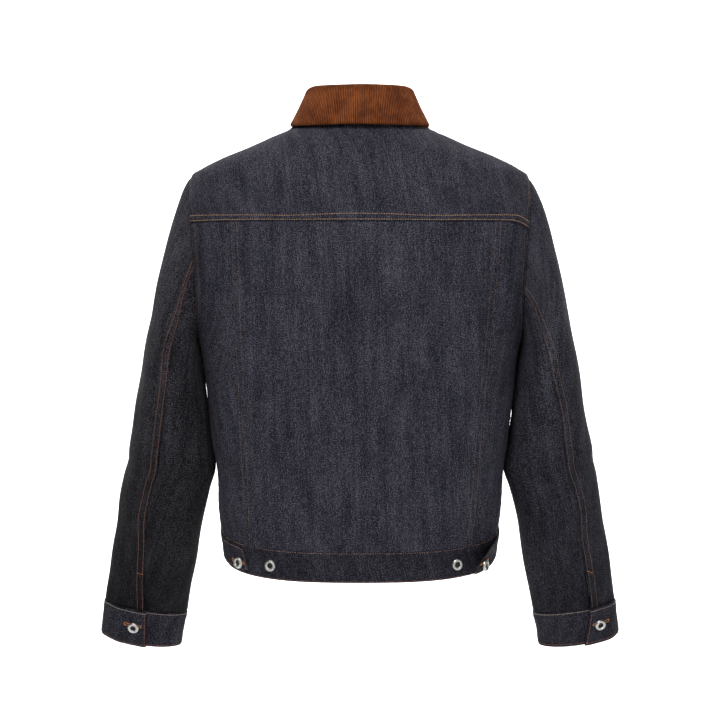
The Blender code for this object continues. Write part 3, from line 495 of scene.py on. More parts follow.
class Sleeve:
    """One sleeve's outer face. side is 1 for the wearer's right and -1 for the left."""

    def __init__(self, side):
        self.side = side

    def ring(self, turn, z):
        """Points round the arm at a height of the ring's middle, as on the right sleeve."""
        turn = np.radians(turn)
        x, y, half_width, half_depth, roll, pitch = profile(SLEEVE, z).T
        roll, pitch = np.radians(roll), np.radians(pitch)
        across, behind = half_width * np.cos(turn), half_depth * np.sin(turn)
        return np.stack(
            [
                x + across * np.cos(roll),
                y - behind * np.cos(pitch),
                z + across * np.sin(roll) - behind * np.sin(pitch),
            ],
            axis=-1,
        )

    def head(self, turn, v):
        """Points on the sleeve head, between the armhole (v = 0) and the first ring (v = 1)."""
        start = armhole_points(turn)
        top_z = SLEEVE[0].z
        end = self.ring(turn, np.full_like(turn, top_z))
        below = self.ring(turn, np.full_like(turn, top_z - 0.01))
        arrive = (below - end) / 0.01 * np.linalg.norm(end - start, axis=1)[:, None]
        angle = np.radians(turn)[:, None]
        top, back, under, front = (np.array(d) for d in (HEAD_TOP, HEAD_BACK, HEAD_UNDER, HEAD_FRONT))
        up, rear = np.cos(angle), np.sin(angle)
        leave = np.where(up > 0, top, under) * up**2 + np.where(rear > 0, back, front) * rear**2
        v = v[:, None]
        return (
            (1 + 2 * v) * (1 - v) ** 2 * start
            + v * (1 - v) ** 2 * leave
            + v**2 * (3 - 2 * v) * end
            - v**2 * (1 - v) * arrive
        )

    def face(self, turn, v):
        turn, v = np.broadcast_arrays(np.asarray(turn, float), np.asarray(v, float))
        shape = turn.shape
        turn, v = turn.ravel(), v.ravel()
        top_z = SLEEVE[0].z
        points = self.ring(turn, top_z + (CUFF_TOP_Z - top_z) * np.maximum(v - 1, 0))
        on_head = v < 1
        if on_head.any():
            points[on_head] = self.head(turn[on_head], v[on_head])
        points[:, 0] *= self.side
        return points.reshape(shape + (3,))

    def out(self, turn, v, height):
        normal = face_normals(self.face, turn, v, 0.5, 0.004)
        return self.face(turn, v) + self.side * np.asarray(height)[..., None] * normal

    def rear_seam(self, v):
        return profile(SLEEVE_SEAMS, v)[:, 0 if self.side < 0 else 1]

    def front_seam(self, v):
        return profile(SLEEVE_SEAMS, v)[:, 2]


def lap_lift(share, lap):
    """How far a band's outer end stands over its inner one, as a share of the full lift."""
    t = np.clip((share - (1 - LAP_RISE_START * lap)) / (LAP_RISE_LENGTH * lap), 0, 1)
    return t * t * (3 - 2 * t)


def tab_lift(tab, share):
    """How far a tab's outer face stands over the body at a share of its length."""
    loose = np.clip((share - TAB_LOOSE_FROM) / (1 - TAB_LOOSE_FROM), 0, 1)
    return BAND_PROUD + SEAM_GAP + TAB_CLOTH + tab.stand_off * loose**2


def neck_point(along):
    """Points on the neck seam: 0 at centre back, 0.5 at the right shoulder seam, 1 at the right front end."""
    along = np.asarray(along, float)
    side = np.where(along < 0, -1.0, 1.0)
    far = np.abs(along)
    back = neck_back(along + 0.5)
    front = neck_front(1, COLLAR_END_X)(np.clip(far - 0.5, 0, 0.5) * 2)
    behind = (far <= 0.5)[:, None]
    uz = np.where(behind, back, front * np.stack([side, np.ones_like(side)], axis=-1))
    return torso(uz[:, 0], uz[:, 1])


def collar_sections(along, stand_steps=3, bend_steps=4, fall_steps=4):
    """The collar's middle line at places along the neck, from the stand's foot to the fall's edge."""
    foot = neck_point(along)
    ahead, behind = neck_point(along + 0.01), neck_point(along - 0.01)
    run = ahead - behind
    out = np.stack([run[:, 1], -run[:, 0], np.zeros(len(run))], axis=-1)
    out /= np.linalg.norm(out, axis=1, keepdims=True)
    out[np.abs(along) < 0.001] = (0, -1, 0)
    rise, fold_in, edge_out, edge_rise = profile(COLLAR, np.abs(along)).T
    radius = COLLAR_FOLD_RADIUS
    half = COLLAR_CLOTH / 2
    stand_foot = np.stack([-half - COLLAR_FOOT_IN + 0 * rise, COLLAR_FOOT_RISE + 0 * rise])
    centre = np.stack([-fold_in - half - radius, rise - radius - half])
    stand_top = centre + np.array([[-radius], [0]])
    fall_top = centre + np.array([[radius], [0]])
    fall_edge = np.stack([edge_out - half, edge_rise])
    line = [stand_foot + (stand_top - stand_foot) * t for t in np.linspace(0, 1, stand_steps + 1)]
    line += [
        centre + radius * np.array([[-math.cos(a)], [math.sin(a)]])
        for a in np.linspace(0, math.pi, bend_steps + 1)[1:-1]
    ]
    line += [fall_top + (fall_edge - fall_top) * t for t in np.linspace(0, 1, fall_steps + 1)]
    sections = []
    for sideways, upward in line:
        sections.append(foot + sideways[:, None] * out + upward[:, None] * np.array([0, 0, 1.0]))
    return np.stack(sections)


# Fine cloth

PANEL_SHELL = 0.0014
YOKE_SHELL = 0.0018
PANEL_SWELL = 0.0009
YOKE_SWELL = 0.0005
BAND_SWELL = 0.0003
BAND_EDGE_RISE = 0.0003
RIM_ROUND = 0.0005
WALE = 0.0026
WALE_RISE = 0.00055
WALE_STEPS = 6
CELL = 0.0032
FELL_WIDTH = 0.0112
FELL_RISE = 0.0009
STITCH_ROWS = (0.0020, 0.0096)
EDGE_ROW = (0.0022,)
STITCH_DIP = 0.00035
TUCK = 0.0007
PUCKER = 0.00045
LAP_FLARE = 0.0008
VENT_LENGTH = 0.075
VENT_FLARE = 0.0016
TURN_UNDER = 15.0  # in steps of the first two grid lines
EDGE_STRIP = (  # grid lines at a panel's edge, close together where its seam rises and its stitches lie
    *(0.0, 0.0004, 0.0010, 0.0016, 0.0024, 0.0036),
    *(0.0054, 0.0076, 0.0088, 0.0096, 0.0104, 0.0114, 0.0128),
)


def ripple(at, seed, shortest, longest):
    """A smooth uneven wave along a line, between about -1 and 1."""
    pick = np.random.default_rng(seed)
    total = np.zeros_like(at)
    for _ in range(5):
        wave = pick.uniform(shortest, longest)
        total = total + np.sin(2 * math.pi * at / wave + pick.uniform(0, 6.28)) * pick.uniform(0.5, 1)
    return total / 2.6


def swell(a, b, seed, shortest, longest):
    """A smooth uneven wave over a surface, between about -1 and 1."""
    pick = np.random.default_rng(seed)
    total = np.zeros_like(a)
    for _ in range(7):
        wave, way = pick.uniform(shortest, longest), pick.uniform(0, math.pi)
        phase = pick.uniform(0, 6.28)
        total = total + np.sin(2 * math.pi * (a * math.cos(way) + b * math.sin(way)) / wave + phase)
    return total / 3.5


def smooth(t):
    t = np.clip(t, 0, 1)
    return t * t * (3 - 2 * t)


def shares(length, cell=CELL, low=True, high=True, keep=()):
    """Shares of a length with a fine strip at either end and even cells between."""
    first = np.array(EDGE_STRIP) if low else np.zeros(1)
    last = length - (np.array(EDGE_STRIP)[::-1] if high else np.zeros(1))
    count = max(1, math.ceil((last[0] - first[-1]) / cell))
    places = np.concatenate([first, np.linspace(first[-1], last[0], count + 1)[1:-1], last]) / length
    places = np.array([p for p in places if all(abs(p - k) > 0.0006 for k in keep)])
    return np.sort(np.concatenate([places, keep]))


def gathered(points, axis):
    """How far along an axis of a grid each point is."""
    step = np.linalg.norm(np.diff(points, axis=axis), axis=-1)
    return np.concatenate([np.zeros_like(np.take(step, [0], axis)), np.cumsum(step, axis)], axis)


def grid_normals(points):
    across = np.gradient(points, axis=1)
    up = np.gradient(points, axis=0)
    normal = np.cross(across, up)
    return normal / np.maximum(np.linalg.norm(normal, axis=-1, keepdims=True), 1e-12)


Crease = namedtuple("Crease", "rise width line")
CREASES = {  # soft ridges (rise over 0) and troughs of each panel, their lines as (x, z) in metres
    "back_centre": (
        Crease(-0.0026, 0.0070, ((0.121, -0.172), (0.126, -0.225), (0.142, -0.290))),
        Crease(0.0018, 0.0090, ((0.104, -0.180), (0.109, -0.240))),
        Crease(-0.0024, 0.0085, ((0.085, -0.339), (0.104, -0.410), (0.131, -0.500))),
        Crease(0.0020, 0.0080, ((0.088, -0.300), (0.118, -0.440), (0.146, -0.528))),
        Crease(0.0020, 0.0100, ((-0.081, -0.150), (-0.088, -0.210), (-0.102, -0.268))),
        Crease(-0.0016, 0.0110, ((-0.066, -0.190), (-0.072, -0.262))),
        Crease(0.0016, 0.0080, ((-0.137, -0.172), (-0.136, -0.240))),
        Crease(-0.0018, 0.0120, ((-0.098, -0.362), (-0.074, -0.415))),
        Crease(0.0015, 0.0090, ((-0.117, -0.383), (-0.112, -0.470), (-0.106, -0.514))),
        Crease(0.0014, 0.0130, ((0.014, -0.270), (0.038, -0.345))),
        Crease(-0.0014, 0.0140, ((-0.012, -0.300), (-0.020, -0.390))),
        Crease(0.0013, 0.0100, ((-0.042, -0.450), (-0.050, -0.540))),
        Crease(-0.0012, 0.0100, ((0.030, -0.440), (0.026, -0.550))),
    ),
    "back_side_right": (
        Crease(0.0020, 0.0060, ((0.170, -0.180), (0.183, -0.250), (0.176, -0.330))),
        Crease(-0.0018, 0.0060, ((0.176, -0.285), (0.198, -0.278))),
        Crease(0.0018, 0.0070, ((0.160, -0.380), (0.165, -0.470))),
    ),
    "back_side_left": (
        Crease(-0.0022, 0.0050, ((-0.180, -0.240), (-0.170, -0.222), (-0.164, -0.180))),
        Crease(0.0016, 0.0060, ((-0.188, -0.215), (-0.178, -0.170))),
        Crease(-0.0014, 0.0080, ((-0.172, -0.350), (-0.166, -0.440))),
    ),
    "back_yoke": (
        Crease(-0.0020, 0.0100, ((-0.196, -0.085), (-0.150, -0.082), (-0.118, -0.092))),
        Crease(0.0016, 0.0110, ((-0.164, -0.115), (-0.120, -0.128))),
        Crease(-0.0012, 0.0120, ((0.060, -0.050), (0.078, -0.125))),
        Crease(0.0012, 0.0140, ((-0.030, -0.050), (-0.022, -0.120))),
    ),
    "sleeve_left_top": (
        Crease(0.0024, 0.0080, ((-0.252, -0.262), (-0.250, -0.330))),
        Crease(-0.0022, 0.0080, ((-0.272, -0.280), (-0.268, -0.370))),
        Crease(0.0018, 0.0090, ((-0.290, -0.420), (-0.298, -0.540))),
    ),
    "sleeve_left_under": (
        Crease(-0.0026, 0.0090, ((-0.246, -0.290), (-0.232, -0.340))),
        Crease(0.0024, 0.0100, ((-0.254, -0.345), (-0.238, -0.400))),
        Crease(-0.0020, 0.0100, ((-0.258, -0.470), (-0.232, -0.440))),
        Crease(0.0018, 0.0100, ((-0.282, -0.520), (-0.292, -0.620))),
    ),
    "sleeve_right_top": (
        Crease(-0.0026, 0.0080, ((0.236, -0.165), (0.252, -0.235))),
        Crease(0.0022, 0.0080, ((0.256, -0.180), (0.266, -0.260))),
        Crease(0.0018, 0.0090, ((0.290, -0.400), (0.304, -0.520))),
    ),
    "sleeve_right_under": (
        Crease(-0.0030, 0.0080, ((0.222, -0.360), (0.232, -0.400))),
        Crease(0.0024, 0.0090, ((0.238, -0.320), (0.250, -0.400))),
        Crease(-0.0018, 0.0100, ((0.262, -0.430), (0.248, -0.500))),
        Crease(0.0016, 0.0090, ((0.276, -0.560), (0.290, -0.630))),
    ),
    "front_left": (
        Crease(-0.0020, 0.0100, ((-0.150, -0.200), (-0.110, -0.300))),
        Crease(0.0018, 0.0110, ((-0.120, -0.360), (-0.090, -0.480))),
    ),
    "front_right": (
        Crease(-0.0022, 0.0100, ((0.145, -0.190), (0.118, -0.280))),
        Crease(0.0018, 0.0120, ((0.105, -0.340), (0.120, -0.470))),
    ),
}


class Cloth:
    """A panel's fine grid, and how far each of its points is from each edge."""

    def __init__(self, name, grid, out, flip=1):
        self.name = name
        self.grid = grid
        self.out = out
        self.flip = flip
        self.base = out(grid[..., 0], grid[..., 1], np.zeros(grid.shape[:2]))
        self.along = gathered(self.base, 1)
        self.up = gathered(self.base, 0)
        self.far = {
            "left": self.along,
            "right": self.along[:, -1:] - self.along,
            "low": self.up,
            "high": self.up[-1:] - self.up,
        }
        self.height = np.zeros(grid.shape[:2])

    def follow(self, edge):
        return self.up if edge in ("left", "right") else self.along

    def seam(self, edge, kind, seed, rise=FELL_RISE, width=FELL_WIDTH, rows=STITCH_ROWS, pucker=PUCKER):
        """Shapes the cloth along an edge: over its neighbour, tucked under it, or turned in as a hem."""
        far = self.far[edge]
        wave = ripple(self.follow(edge), seed, 0.007, 0.017)
        if kind == "under":
            self.height -= TUCK * np.exp(-((far / 0.0022) ** 2))
            self.height += 0.6 * pucker * wave * np.exp(-((far / 0.012) ** 2))
            return
        self.height += rise * smooth((width + 0.0012 - far) / 0.0024)
        for row in rows:
            self.height -= STITCH_DIP * np.exp(-(((far - row) / 0.0010) ** 2))
        self.height += pucker * wave * np.exp(-((far / 0.013) ** 2))

    def crease(self):
        """Adds the soft folds that CREASES places on this panel."""
        at = self.base[..., ::2]
        for crease in CREASES.get(self.name.removesuffix("_cloth"), ()):
            line = np.array(crease.line)
            nearest = np.full(at.shape[:2], np.inf)
            for start, end in zip(line, line[1:]):
                run = end - start
                t = np.clip(((at - start) @ run) / (run @ run), 0, 1)
                nearest = np.minimum(nearest, np.linalg.norm(at - start - t[..., None] * run, axis=-1))
            self.height += crease.rise * np.exp(-((nearest / crease.width) ** 2))

    def finish(self, thickness):
        """The shell's two faces, its rim rounded off."""
        self.crease()
        near = np.minimum.reduce([self.far[e] for e in self.far])
        self.height -= RIM_ROUND * np.exp(-((near / 0.0006) ** 2))
        a, b = self.grid[..., 0], self.grid[..., 1]
        self.outer = self.out(a, b, self.height)
        self.inner = self.out(a, b, self.height - thickness)
        self.normals = self.flip * grid_normals(self.outer)
        return self

    def spot(self, edge, inward, up):
        """A point and normal on the outer face: so far in from a side edge, and up from the low one."""
        rows, columns = self.outer.shape[:2]
        row = np.interp(up, self.up[:, columns // 2], np.arange(rows))
        k = min(int(row), rows - 2)
        far = self.far[edge][k]
        order = np.argsort(far)
        found = []
        for field in (self.outer, self.normals):
            line = field[k] * (k + 1 - row) + field[k + 1] * (row - k)
            found.append([np.interp(inward, far[order], line[order, i]) for i in range(3)])
        return found

    def line(self, edge, distance, start, end):
        """Points and normals along an edge of the outer face, a distance in, cut short at either end."""
        far, points, normals = self.far[edge], self.outer, self.normals
        if edge in ("low", "high"):
            far, points, normals = far.T, points.transpose(1, 0, 2), normals.transpose(1, 0, 2)
        if edge in ("right", "high"):
            far, points, normals = far[:, ::-1], points[:, ::-1], normals[:, ::-1]
        k = np.clip((far < distance).sum(axis=1) - 1, 0, far.shape[1] - 2)
        row = np.arange(len(far))
        t = ((distance - far[row, k]) / np.maximum(far[row, k + 1] - far[row, k], 1e-9))[:, None]
        line = points[row, k] * (1 - t) + points[row, k + 1] * t
        lift = normals[row, k] * (1 - t) + normals[row, k + 1] * t
        length = gathered(line[None], 1)[0]
        keep = (length >= start) & (length <= length[-1] - end)
        return line[keep], lift[keep]


def build(name, points, faces, slots, materials, uv=None):
    mesh = bpy.data.meshes.new(name)
    mesh.from_pydata(points.reshape(-1, 3).tolist(), [], faces.tolist())
    mesh.polygons.foreach_set("material_index", slots.astype(np.int32))
    mesh.polygons.foreach_set("use_smooth", np.full(len(faces), True))
    if uv is not None:
        layer = mesh.uv_layers.new(name="cloth")
        loops = np.zeros(len(mesh.loops), np.int32)
        mesh.loops.foreach_get("vertex_index", loops)
        layer.data.foreach_set("uv", uv.reshape(-1, 2)[loops].ravel())
    for made in materials:
        mesh.materials.append(made)
    mesh.update()
    piece = bpy.data.objects.new(name, mesh)
    bpy.context.scene.collection.objects.link(piece)
    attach(piece, "root")
    return piece


def shell(cloth, materials, node):
    """A closed shell from a finished Cloth, in place of a node: outer face, inner face and rim."""
    rows, columns = cloth.outer.shape[:2]
    index = np.arange(rows * columns).reshape(rows, columns)
    front = np.stack([index[:-1, :-1], index[:-1, 1:], index[1:, 1:], index[1:, :-1]], -1).reshape(-1, 4)
    rim = np.concatenate([index[0], index[1:, -1], index[-1, -2::-1], index[-2:0:-1, 0]])
    after = np.roll(rim, -1)
    total = rows * columns
    edge = np.stack([after, rim, rim + total, after + total], -1)
    back = front[:, ::-1] + total
    if cloth.flip < 0:
        front, back, edge = front[:, ::-1], back[:, ::-1], edge[:, ::-1]
    points = np.concatenate([cloth.outer.reshape(-1, 3), cloth.inner.reshape(-1, 3)])
    uv = np.stack([cloth.along, cloth.up], -1).reshape(-1, 2)
    slots = np.concatenate([np.zeros(len(front)), np.ones(len(back)), np.zeros(len(edge))])
    piece = build(
        cloth.name,
        points,
        np.concatenate([front, back, edge]),
        slots,
        materials,
        np.concatenate([uv, uv]),
    )
    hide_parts(node)
    return piece


def run_under(grid):
    """The grid with its lowest row pushed down, in under the band below it."""
    grid = grid.copy()
    grid[0] -= (grid[1] - grid[0]) * TURN_UNDER
    return grid


# Materials


def nodes_of(name):
    made = bpy.data.materials.new(name)
    made.use_nodes = True
    tree = made.node_tree
    return made, tree, tree.nodes["Principled BSDF"]


def link(tree, out, into):
    tree.links.new(out, into)


def add(tree, kind, **values):
    node = tree.nodes.new(kind)
    for key, value in values.items():
        setattr(node, key, value)
    return node


def scaled(tree, place, scale):
    node = add(tree, "ShaderNodeMapping")
    sockets(node, {"Scale": scale})
    link(tree, place, node.inputs["Vector"])
    return node.outputs[0]


def stretched(tree, x, y):
    """The cloth's own coordinates in metres, scaled along its width and its length."""
    return scaled(tree, add(tree, "ShaderNodeUVMap", uv_map="cloth").outputs[0], (x, y, 1.0))


def cloth_axes(tree):
    """How far across and up the cloth a place is, in metres."""
    parts = add(tree, "ShaderNodeSeparateXYZ")
    link(tree, add(tree, "ShaderNodeUVMap", uv_map="cloth").outputs[0], parts.inputs[0])
    return parts.outputs["X"], parts.outputs["Y"]


def sockets(node, values):
    """Sets sockets of a node that nothing is linked to."""
    for key, value in values.items():
        node.inputs[key].default_value = value


def noise(tree, vector, detail=2.0, rough=0.5):
    node = add(tree, "ShaderNodeTexNoise")
    sockets(node, {"Scale": 1.0, "Detail": detail, "Roughness": rough})
    link(tree, vector, node.inputs["Vector"])
    return node.outputs["Fac"]


def grain(tree, scale, detail, rough):
    """Noise in the object's own space."""
    place = add(tree, "ShaderNodeTexCoord").outputs["Object"]
    return noise(tree, scaled(tree, place, (scale, scale, scale)), detail, rough)


def maths(tree, how, a, b, clamp=False):
    node = add(tree, "ShaderNodeMath", operation=how, use_clamp=clamp)
    for socket, value in zip(node.inputs, (a, b)):
        if isinstance(value, (int, float)):
            socket.default_value = value
        else:
            link(tree, value, socket)
    return node.outputs[0]


def scaled_by(tree, value, weight, plus):
    """value times weight, plus another value or a number."""
    return maths(tree, "ADD", maths(tree, "MULTIPLY", value, weight), plus)


def blend_of(tree, parts):
    """A weighted sum of several values, each less 0.5, about 0.5."""
    total = 0.5
    for value, weight in parts:
        total = scaled_by(tree, maths(tree, "SUBTRACT", value, 0.5), weight, total)
    return total


def ramp(tree, value, stops):
    node = add(tree, "ShaderNodeValToRGB")
    elements = node.color_ramp.elements
    while len(elements) < len(stops):
        elements.new(0.5)
    for element, (place, colour) in zip(elements, stops):
        element.position = place
        element.color = (*colour, 1)
    link(tree, value, node.inputs[0])
    return node.outputs[0]


def bump(tree, height, strength, distance, shader):
    node = add(tree, "ShaderNodeBump")
    sockets(node, {"Strength": strength, "Distance": distance})
    link(tree, height, node.inputs["Height"])
    link(tree, node.outputs[0], shader.inputs["Normal"])


def denim(name, dark, middle, light, drop=0.0, shade_reach=1.0):
    """Rinsed twill: pale weft flecks through a dark warp, with slubs running down the cloth.
    The last two arguments paint shade: the share of brightness taken off at the cloth's low edge, and the
    metres over which that is regained."""
    made, tree, shader = nodes_of(name)
    fleck = noise(tree, stretched(tree, 780, 640), 2.0, 0.6)
    slub = noise(tree, stretched(tree, 560, 130), 1.0, 0.5)
    streak = noise(tree, stretched(tree, 300, 9), 2.0, 0.5)
    drift = noise(tree, stretched(tree, 80, 17), 2.0, 0.5)
    tone = noise(tree, stretched(tree, 16, 11), 3.0, 0.55)
    value = blend_of(tree, ((fleck, 3.2), (slub, 0.8), (streak, 0.4), (drift, 0.5), (tone, 0.45)))
    colour = ramp(tree, value, ((0.10, dark), (0.50, middle), (1.0, light)))
    # Painted shade: the colour darkens towards the cloth's low edge and fades back further up.
    up = cloth_axes(tree)[1]
    shade_share = maths(tree, "SUBTRACT", 1.0, maths(tree, "DIVIDE", up, shade_reach), clamp=True)
    shade = add(tree, "ShaderNodeHueSaturation")
    link(tree, colour, shade.inputs["Color"])
    link(tree, maths(tree, "SUBTRACT", 1.0, maths(tree, "MULTIPLY", shade_share, drop)), shade.inputs["Value"])
    link(tree, shade.outputs[0], shader.inputs["Base Color"])
    wave = add(tree, "ShaderNodeTexWave", wave_type="BANDS", bands_direction="DIAGONAL")
    sockets(wave, {"Scale": 1.0, "Distortion": 1.2, "Detail": 1.0})
    link(tree, stretched(tree, 260, 200), wave.inputs["Vector"])
    weave = scaled_by(tree, wave.outputs["Fac"], 0.6, maths(tree, "MULTIPLY", fleck, 0.9))
    bump(tree, weave, 0.6, 0.0004, shader)
    link(tree, scaled_by(tree, fleck, -0.2, 0.92), shader.inputs["Roughness"])
    sockets(shader, {"Specular IOR Level": 0.07, "Sheen Weight": 0.01, "Sheen Roughness": 0.5})
    return made


def corduroy():
    """Fine ribbed pile brushed into soft patches, with painted light along the top of each wale and painted
    shade in the grooves between.
    """
    made, tree, shader = nodes_of("corduroy")
    across = cloth_axes(tree)[0]
    # Painted light and shade: bright along the top of each wale, dark in the grooves between them.
    turn = maths(tree, "DIVIDE", across, WALE)
    wale_light_and_shade = maths(tree, "MULTIPLY", maths(tree, "PINGPONG", turn, 0.5), 2.0)
    mottle = noise(tree, stretched(tree, 260, 130), 3.0, 0.6)
    cloud = noise(tree, stretched(tree, 45, 38), 2.0, 0.5)
    nap = noise(tree, stretched(tree, 1500, 900), 2.0, 0.6)
    value = blend_of(tree, ((wale_light_and_shade, 0.62), (mottle, 0.5), (cloud, 0.75), (nap, 0.3)))
    colour = ramp(
        tree,
        value,
        ((0.10, (0.016, 0.0034, 0.0012)), (0.5, (0.106, 0.0260, 0.0066)), (0.92, (0.30, 0.088, 0.022))),
    )
    link(tree, colour, shader.inputs["Base Color"])
    bump(tree, nap, 0.5, 0.0003, shader)
    link(tree, scaled_by(tree, nap, 0.2, 0.78), shader.inputs["Roughness"])
    sockets(shader, {"Specular IOR Level": 0.15, "Sheen Weight": 0.08, "Sheen Roughness": 0.4})
    sockets(shader, {"Sheen Tint": (0.9, 0.45, 0.22, 1)})
    return made


def thread(name, dark, light):
    made, tree, shader = nodes_of(name)
    tone = grain(tree, 420, 2.0, 0.6)
    link(tree, ramp(tree, tone, ((0.3, dark), (0.72, light))), shader.inputs["Base Color"])
    bump(tree, tone, 0.5, 0.0003, shader)
    link(tree, scaled_by(tree, tone, 0.25, 0.5), shader.inputs["Roughness"])
    sockets(shader, {"Sheen Weight": 0.1})
    return made


def metal():
    made, tree, shader = nodes_of("button_metal")
    tone = grain(tree, 900, 3.0, 0.6)
    colour = ramp(tree, tone, ((0.3, (0.42, 0.41, 0.39)), (0.7, (0.72, 0.71, 0.69))))
    link(tree, colour, shader.inputs["Base Color"])
    link(tree, scaled_by(tree, tone, 0.25, 0.18), shader.inputs["Roughness"])
    bump(tree, tone, 0.15, 0.0001, shader)
    sockets(shader, {"Metallic": 1.0})
    return made


def hole_shade():
    """Painted shade: the dark metal colour at the bottom of a button's middle, standing in for the shade in
    its hole.
    """
    made, tree, shader = nodes_of("button_hollow")
    tone = grain(tree, 700, 2.0, 0.5)
    colour = ramp(tree, tone, ((0.3, (0.02, 0.02, 0.02)), (0.7, (0.07, 0.065, 0.06))))
    link(tree, colour, shader.inputs["Base Color"])
    sockets(shader, {"Roughness": 0.55, "Metallic": 0.6})
    return made


OUTSIDE = denim("denim", (0.0055, 0.0055, 0.0095), (0.0226, 0.0220, 0.0325), (0.104, 0.101, 0.128))
INSIDE = denim("denim_inside", (0.12, 0.14, 0.19), (0.26, 0.29, 0.36), (0.50, 0.54, 0.60))
CORD = corduroy()
# The sleeves' copies of the denim carry painted shade: each darkens towards its cuff, the left one more
# deeply.
OUTSIDE_LEFT_SHADED = denim(
    "denim_left_sleeve",
    (0.0034, 0.0034, 0.0050),
    (0.0190, 0.0184, 0.0236),
    (0.112, 0.108, 0.124),
    drop=0.74,
    shade_reach=0.52,
)
OUTSIDE_RIGHT_SHADED = denim(
    "denim_right_sleeve",
    (0.0036, 0.0036, 0.0062),
    (0.0185, 0.0180, 0.0262),
    (0.110, 0.107, 0.132),
    drop=0.52,
    shade_reach=0.42,
)
BANDS = denim("denim_bands", (0.0032, 0.0032, 0.0056), (0.0138, 0.0133, 0.0198), (0.076, 0.073, 0.094))
GOLD = thread("thread_gold", (0.26, 0.13, 0.045), (0.60, 0.36, 0.170))
DULL = thread("thread_dull", (0.050, 0.027, 0.014), (0.25, 0.140, 0.070))
RUST = thread("thread_rust", (0.10, 0.030, 0.012), (0.32, 0.110, 0.045))
PALE = thread("thread_pale", (0.22, 0.17, 0.120), (0.55, 0.46, 0.360))
TAN = thread("thread_tan", (0.16, 0.075, 0.045), (0.46, 0.270, 0.185))
ORANGE = thread("thread_orange", (0.42, 0.13, 0.020), (0.80, 0.32, 0.075))
METAL_NEW = metal()
HOLE_SHADE = hole_shade()


# Panels of the body


def sides(side):
    """The side edges that a panel's grid starts and ends on, swapped on the left, which is mirrored."""
    return ("right", "left") if side < 0 else ("left", "right")


def body_cloth(name, grid):
    return Cloth(name, grid, torso_out)


def back_cloths():
    left_x, left_turn = yoke_end(-1)
    right_x, right_turn = yoke_end(1)
    left_seam, left_foot, left_top = back_seam(-1)
    right_seam, right_foot, right_top = back_seam(1)
    width = right_x - left_x
    corners = [(x - left_x) / width for x in (-NECK_SIDE_X, NECK_SIDE_X)]
    s = shares(width, CELL, keep=corners)
    top = chain((0.0, shoulder_seam(-1)), (corners[0], neck_back), (corners[1], reverse(shoulder_seam(1))))
    r = shares(0.135)
    left_turns, right_turns = (np.linspace(turn, 0, 25) for turn in (left_turn, right_turn))
    grid = coons(yoke_line(left_x, right_x), top, armhole(-1, left_turns), armhole(1, right_turns), s, r)
    yoke = body_cloth("back_yoke_cloth", grid)
    yoke.seam("low", "over", 11)
    yoke.seam("left", "over", 12)
    yoke.seam("right", "over", 13)
    yoke.seam("high", "over", 14, width=0.0080, rows=EDGE_ROW)
    yoke.height += YOKE_SWELL * swell(yoke.along, yoke.up, 21, 0.05, 0.14)
    yield yoke.finish(YOKE_SHELL), "back_yoke"

    s, r = shares(0.34), shares(0.44)
    low, high = waist_line(left_foot, right_foot), yoke_line(left_top, right_top)
    grid = coons(low, high, left_seam, right_seam, s, r)
    centre = body_cloth("back_centre_cloth", run_under(grid))
    centre.seam("high", "under", 11)
    centre.seam("left", "over", 15)
    centre.seam("right", "over", 16)
    centre.seam("low", "under", 17)
    centre.height += PANEL_SWELL * swell(centre.along, centre.up, 22, 0.06, 0.16)
    yield centre.finish(PANEL_SHELL), "back_centre"

    for name, side, seam, foot, top_x, end_x, end_turn in (
        ("back_side_left", -1, left_seam, left_foot, left_top, left_x, left_turn),
        ("back_side_right", 1, right_seam, right_foot, right_top, right_x, right_turn),
    ):
        turns = np.linspace(180, end_turn, 40)
        outer = chain((0.0, side_seam(side)), (UNDERARM_SHARE, armhole(side, turns)))
        s, r = shares(0.07), shares(0.45, keep=(UNDERARM_SHARE,))
        grid = coons(waist_line(foot, side * 0.5), yoke_line(top_x, end_x), seam, outer, s, r)
        if side < 0:
            grid = grid[:, ::-1]
        cloth = body_cloth(f"{name}_cloth", run_under(grid))
        inner, outer = sides(side)
        cloth.seam("high", "under", 11)
        cloth.seam(inner, "under", 15 if side < 0 else 16)
        cloth.seam(outer, "over", 18 + side)
        cloth.seam("low", "under", 17)
        cloth.height += PANEL_SWELL * swell(cloth.along, cloth.up, 23 + side, 0.05, 0.14)
        yield cloth.finish(PANEL_SHELL), name


def front_cloths():
    for name, side in (("front_left", -1), ("front_right", 1)):
        turns = np.linspace(180, 360, 60)
        outer = chain((0.0, side_seam(side)), (UNDERARM_SHARE, armhole(side, turns)))
        top = chain((0.0, shoulder_seam(side)), (0.5, neck_front(side, FRONT_MEET_X)))
        edge = front_edge(side, FRONT_MEET_X)
        edge_u = float(edge(np.array([0.0]))[0, 0])
        s, r = shares(0.27, 0.0045, keep=(0.5,)), shares(0.50, 0.0045, keep=(UNDERARM_SHARE,))
        grid = coons(waist_line(side * 0.5, edge_u), top, outer, edge, s, r)
        if side < 0:
            grid = grid[:, ::-1]
        cloth = body_cloth(f"{name}_cloth", run_under(grid))
        inner, outer = sides(side)
        cloth.seam("high", "under", 31)
        cloth.seam(outer, "under", 32)
        cloth.seam(inner, "over", 34 + side)
        cloth.seam("low", "under", 17)
        cloth.height += PANEL_SWELL * swell(cloth.along, cloth.up, 26 + side, 0.05, 0.14)
        yield cloth.finish(PANEL_SHELL), name

    places = np.linspace(PLACKET_LEFT_X, PLACKET_RIGHT_X, 15)
    r = shares(0.47, 0.0045)
    grid = np.stack([front_edge(1, x)(r) for x in places], axis=1)[:, ::-1]
    cloth = Cloth("front_placket_cloth", grid, lambda u, z, h: torso_out(u, z, h + SEAM_GAP + CLOTH))
    cloth.seam("left", "over", 35, rows=EDGE_ROW)
    cloth.seam("right", "over", 36, rows=EDGE_ROW)
    yield cloth.finish(PANEL_SHELL), "front_placket"


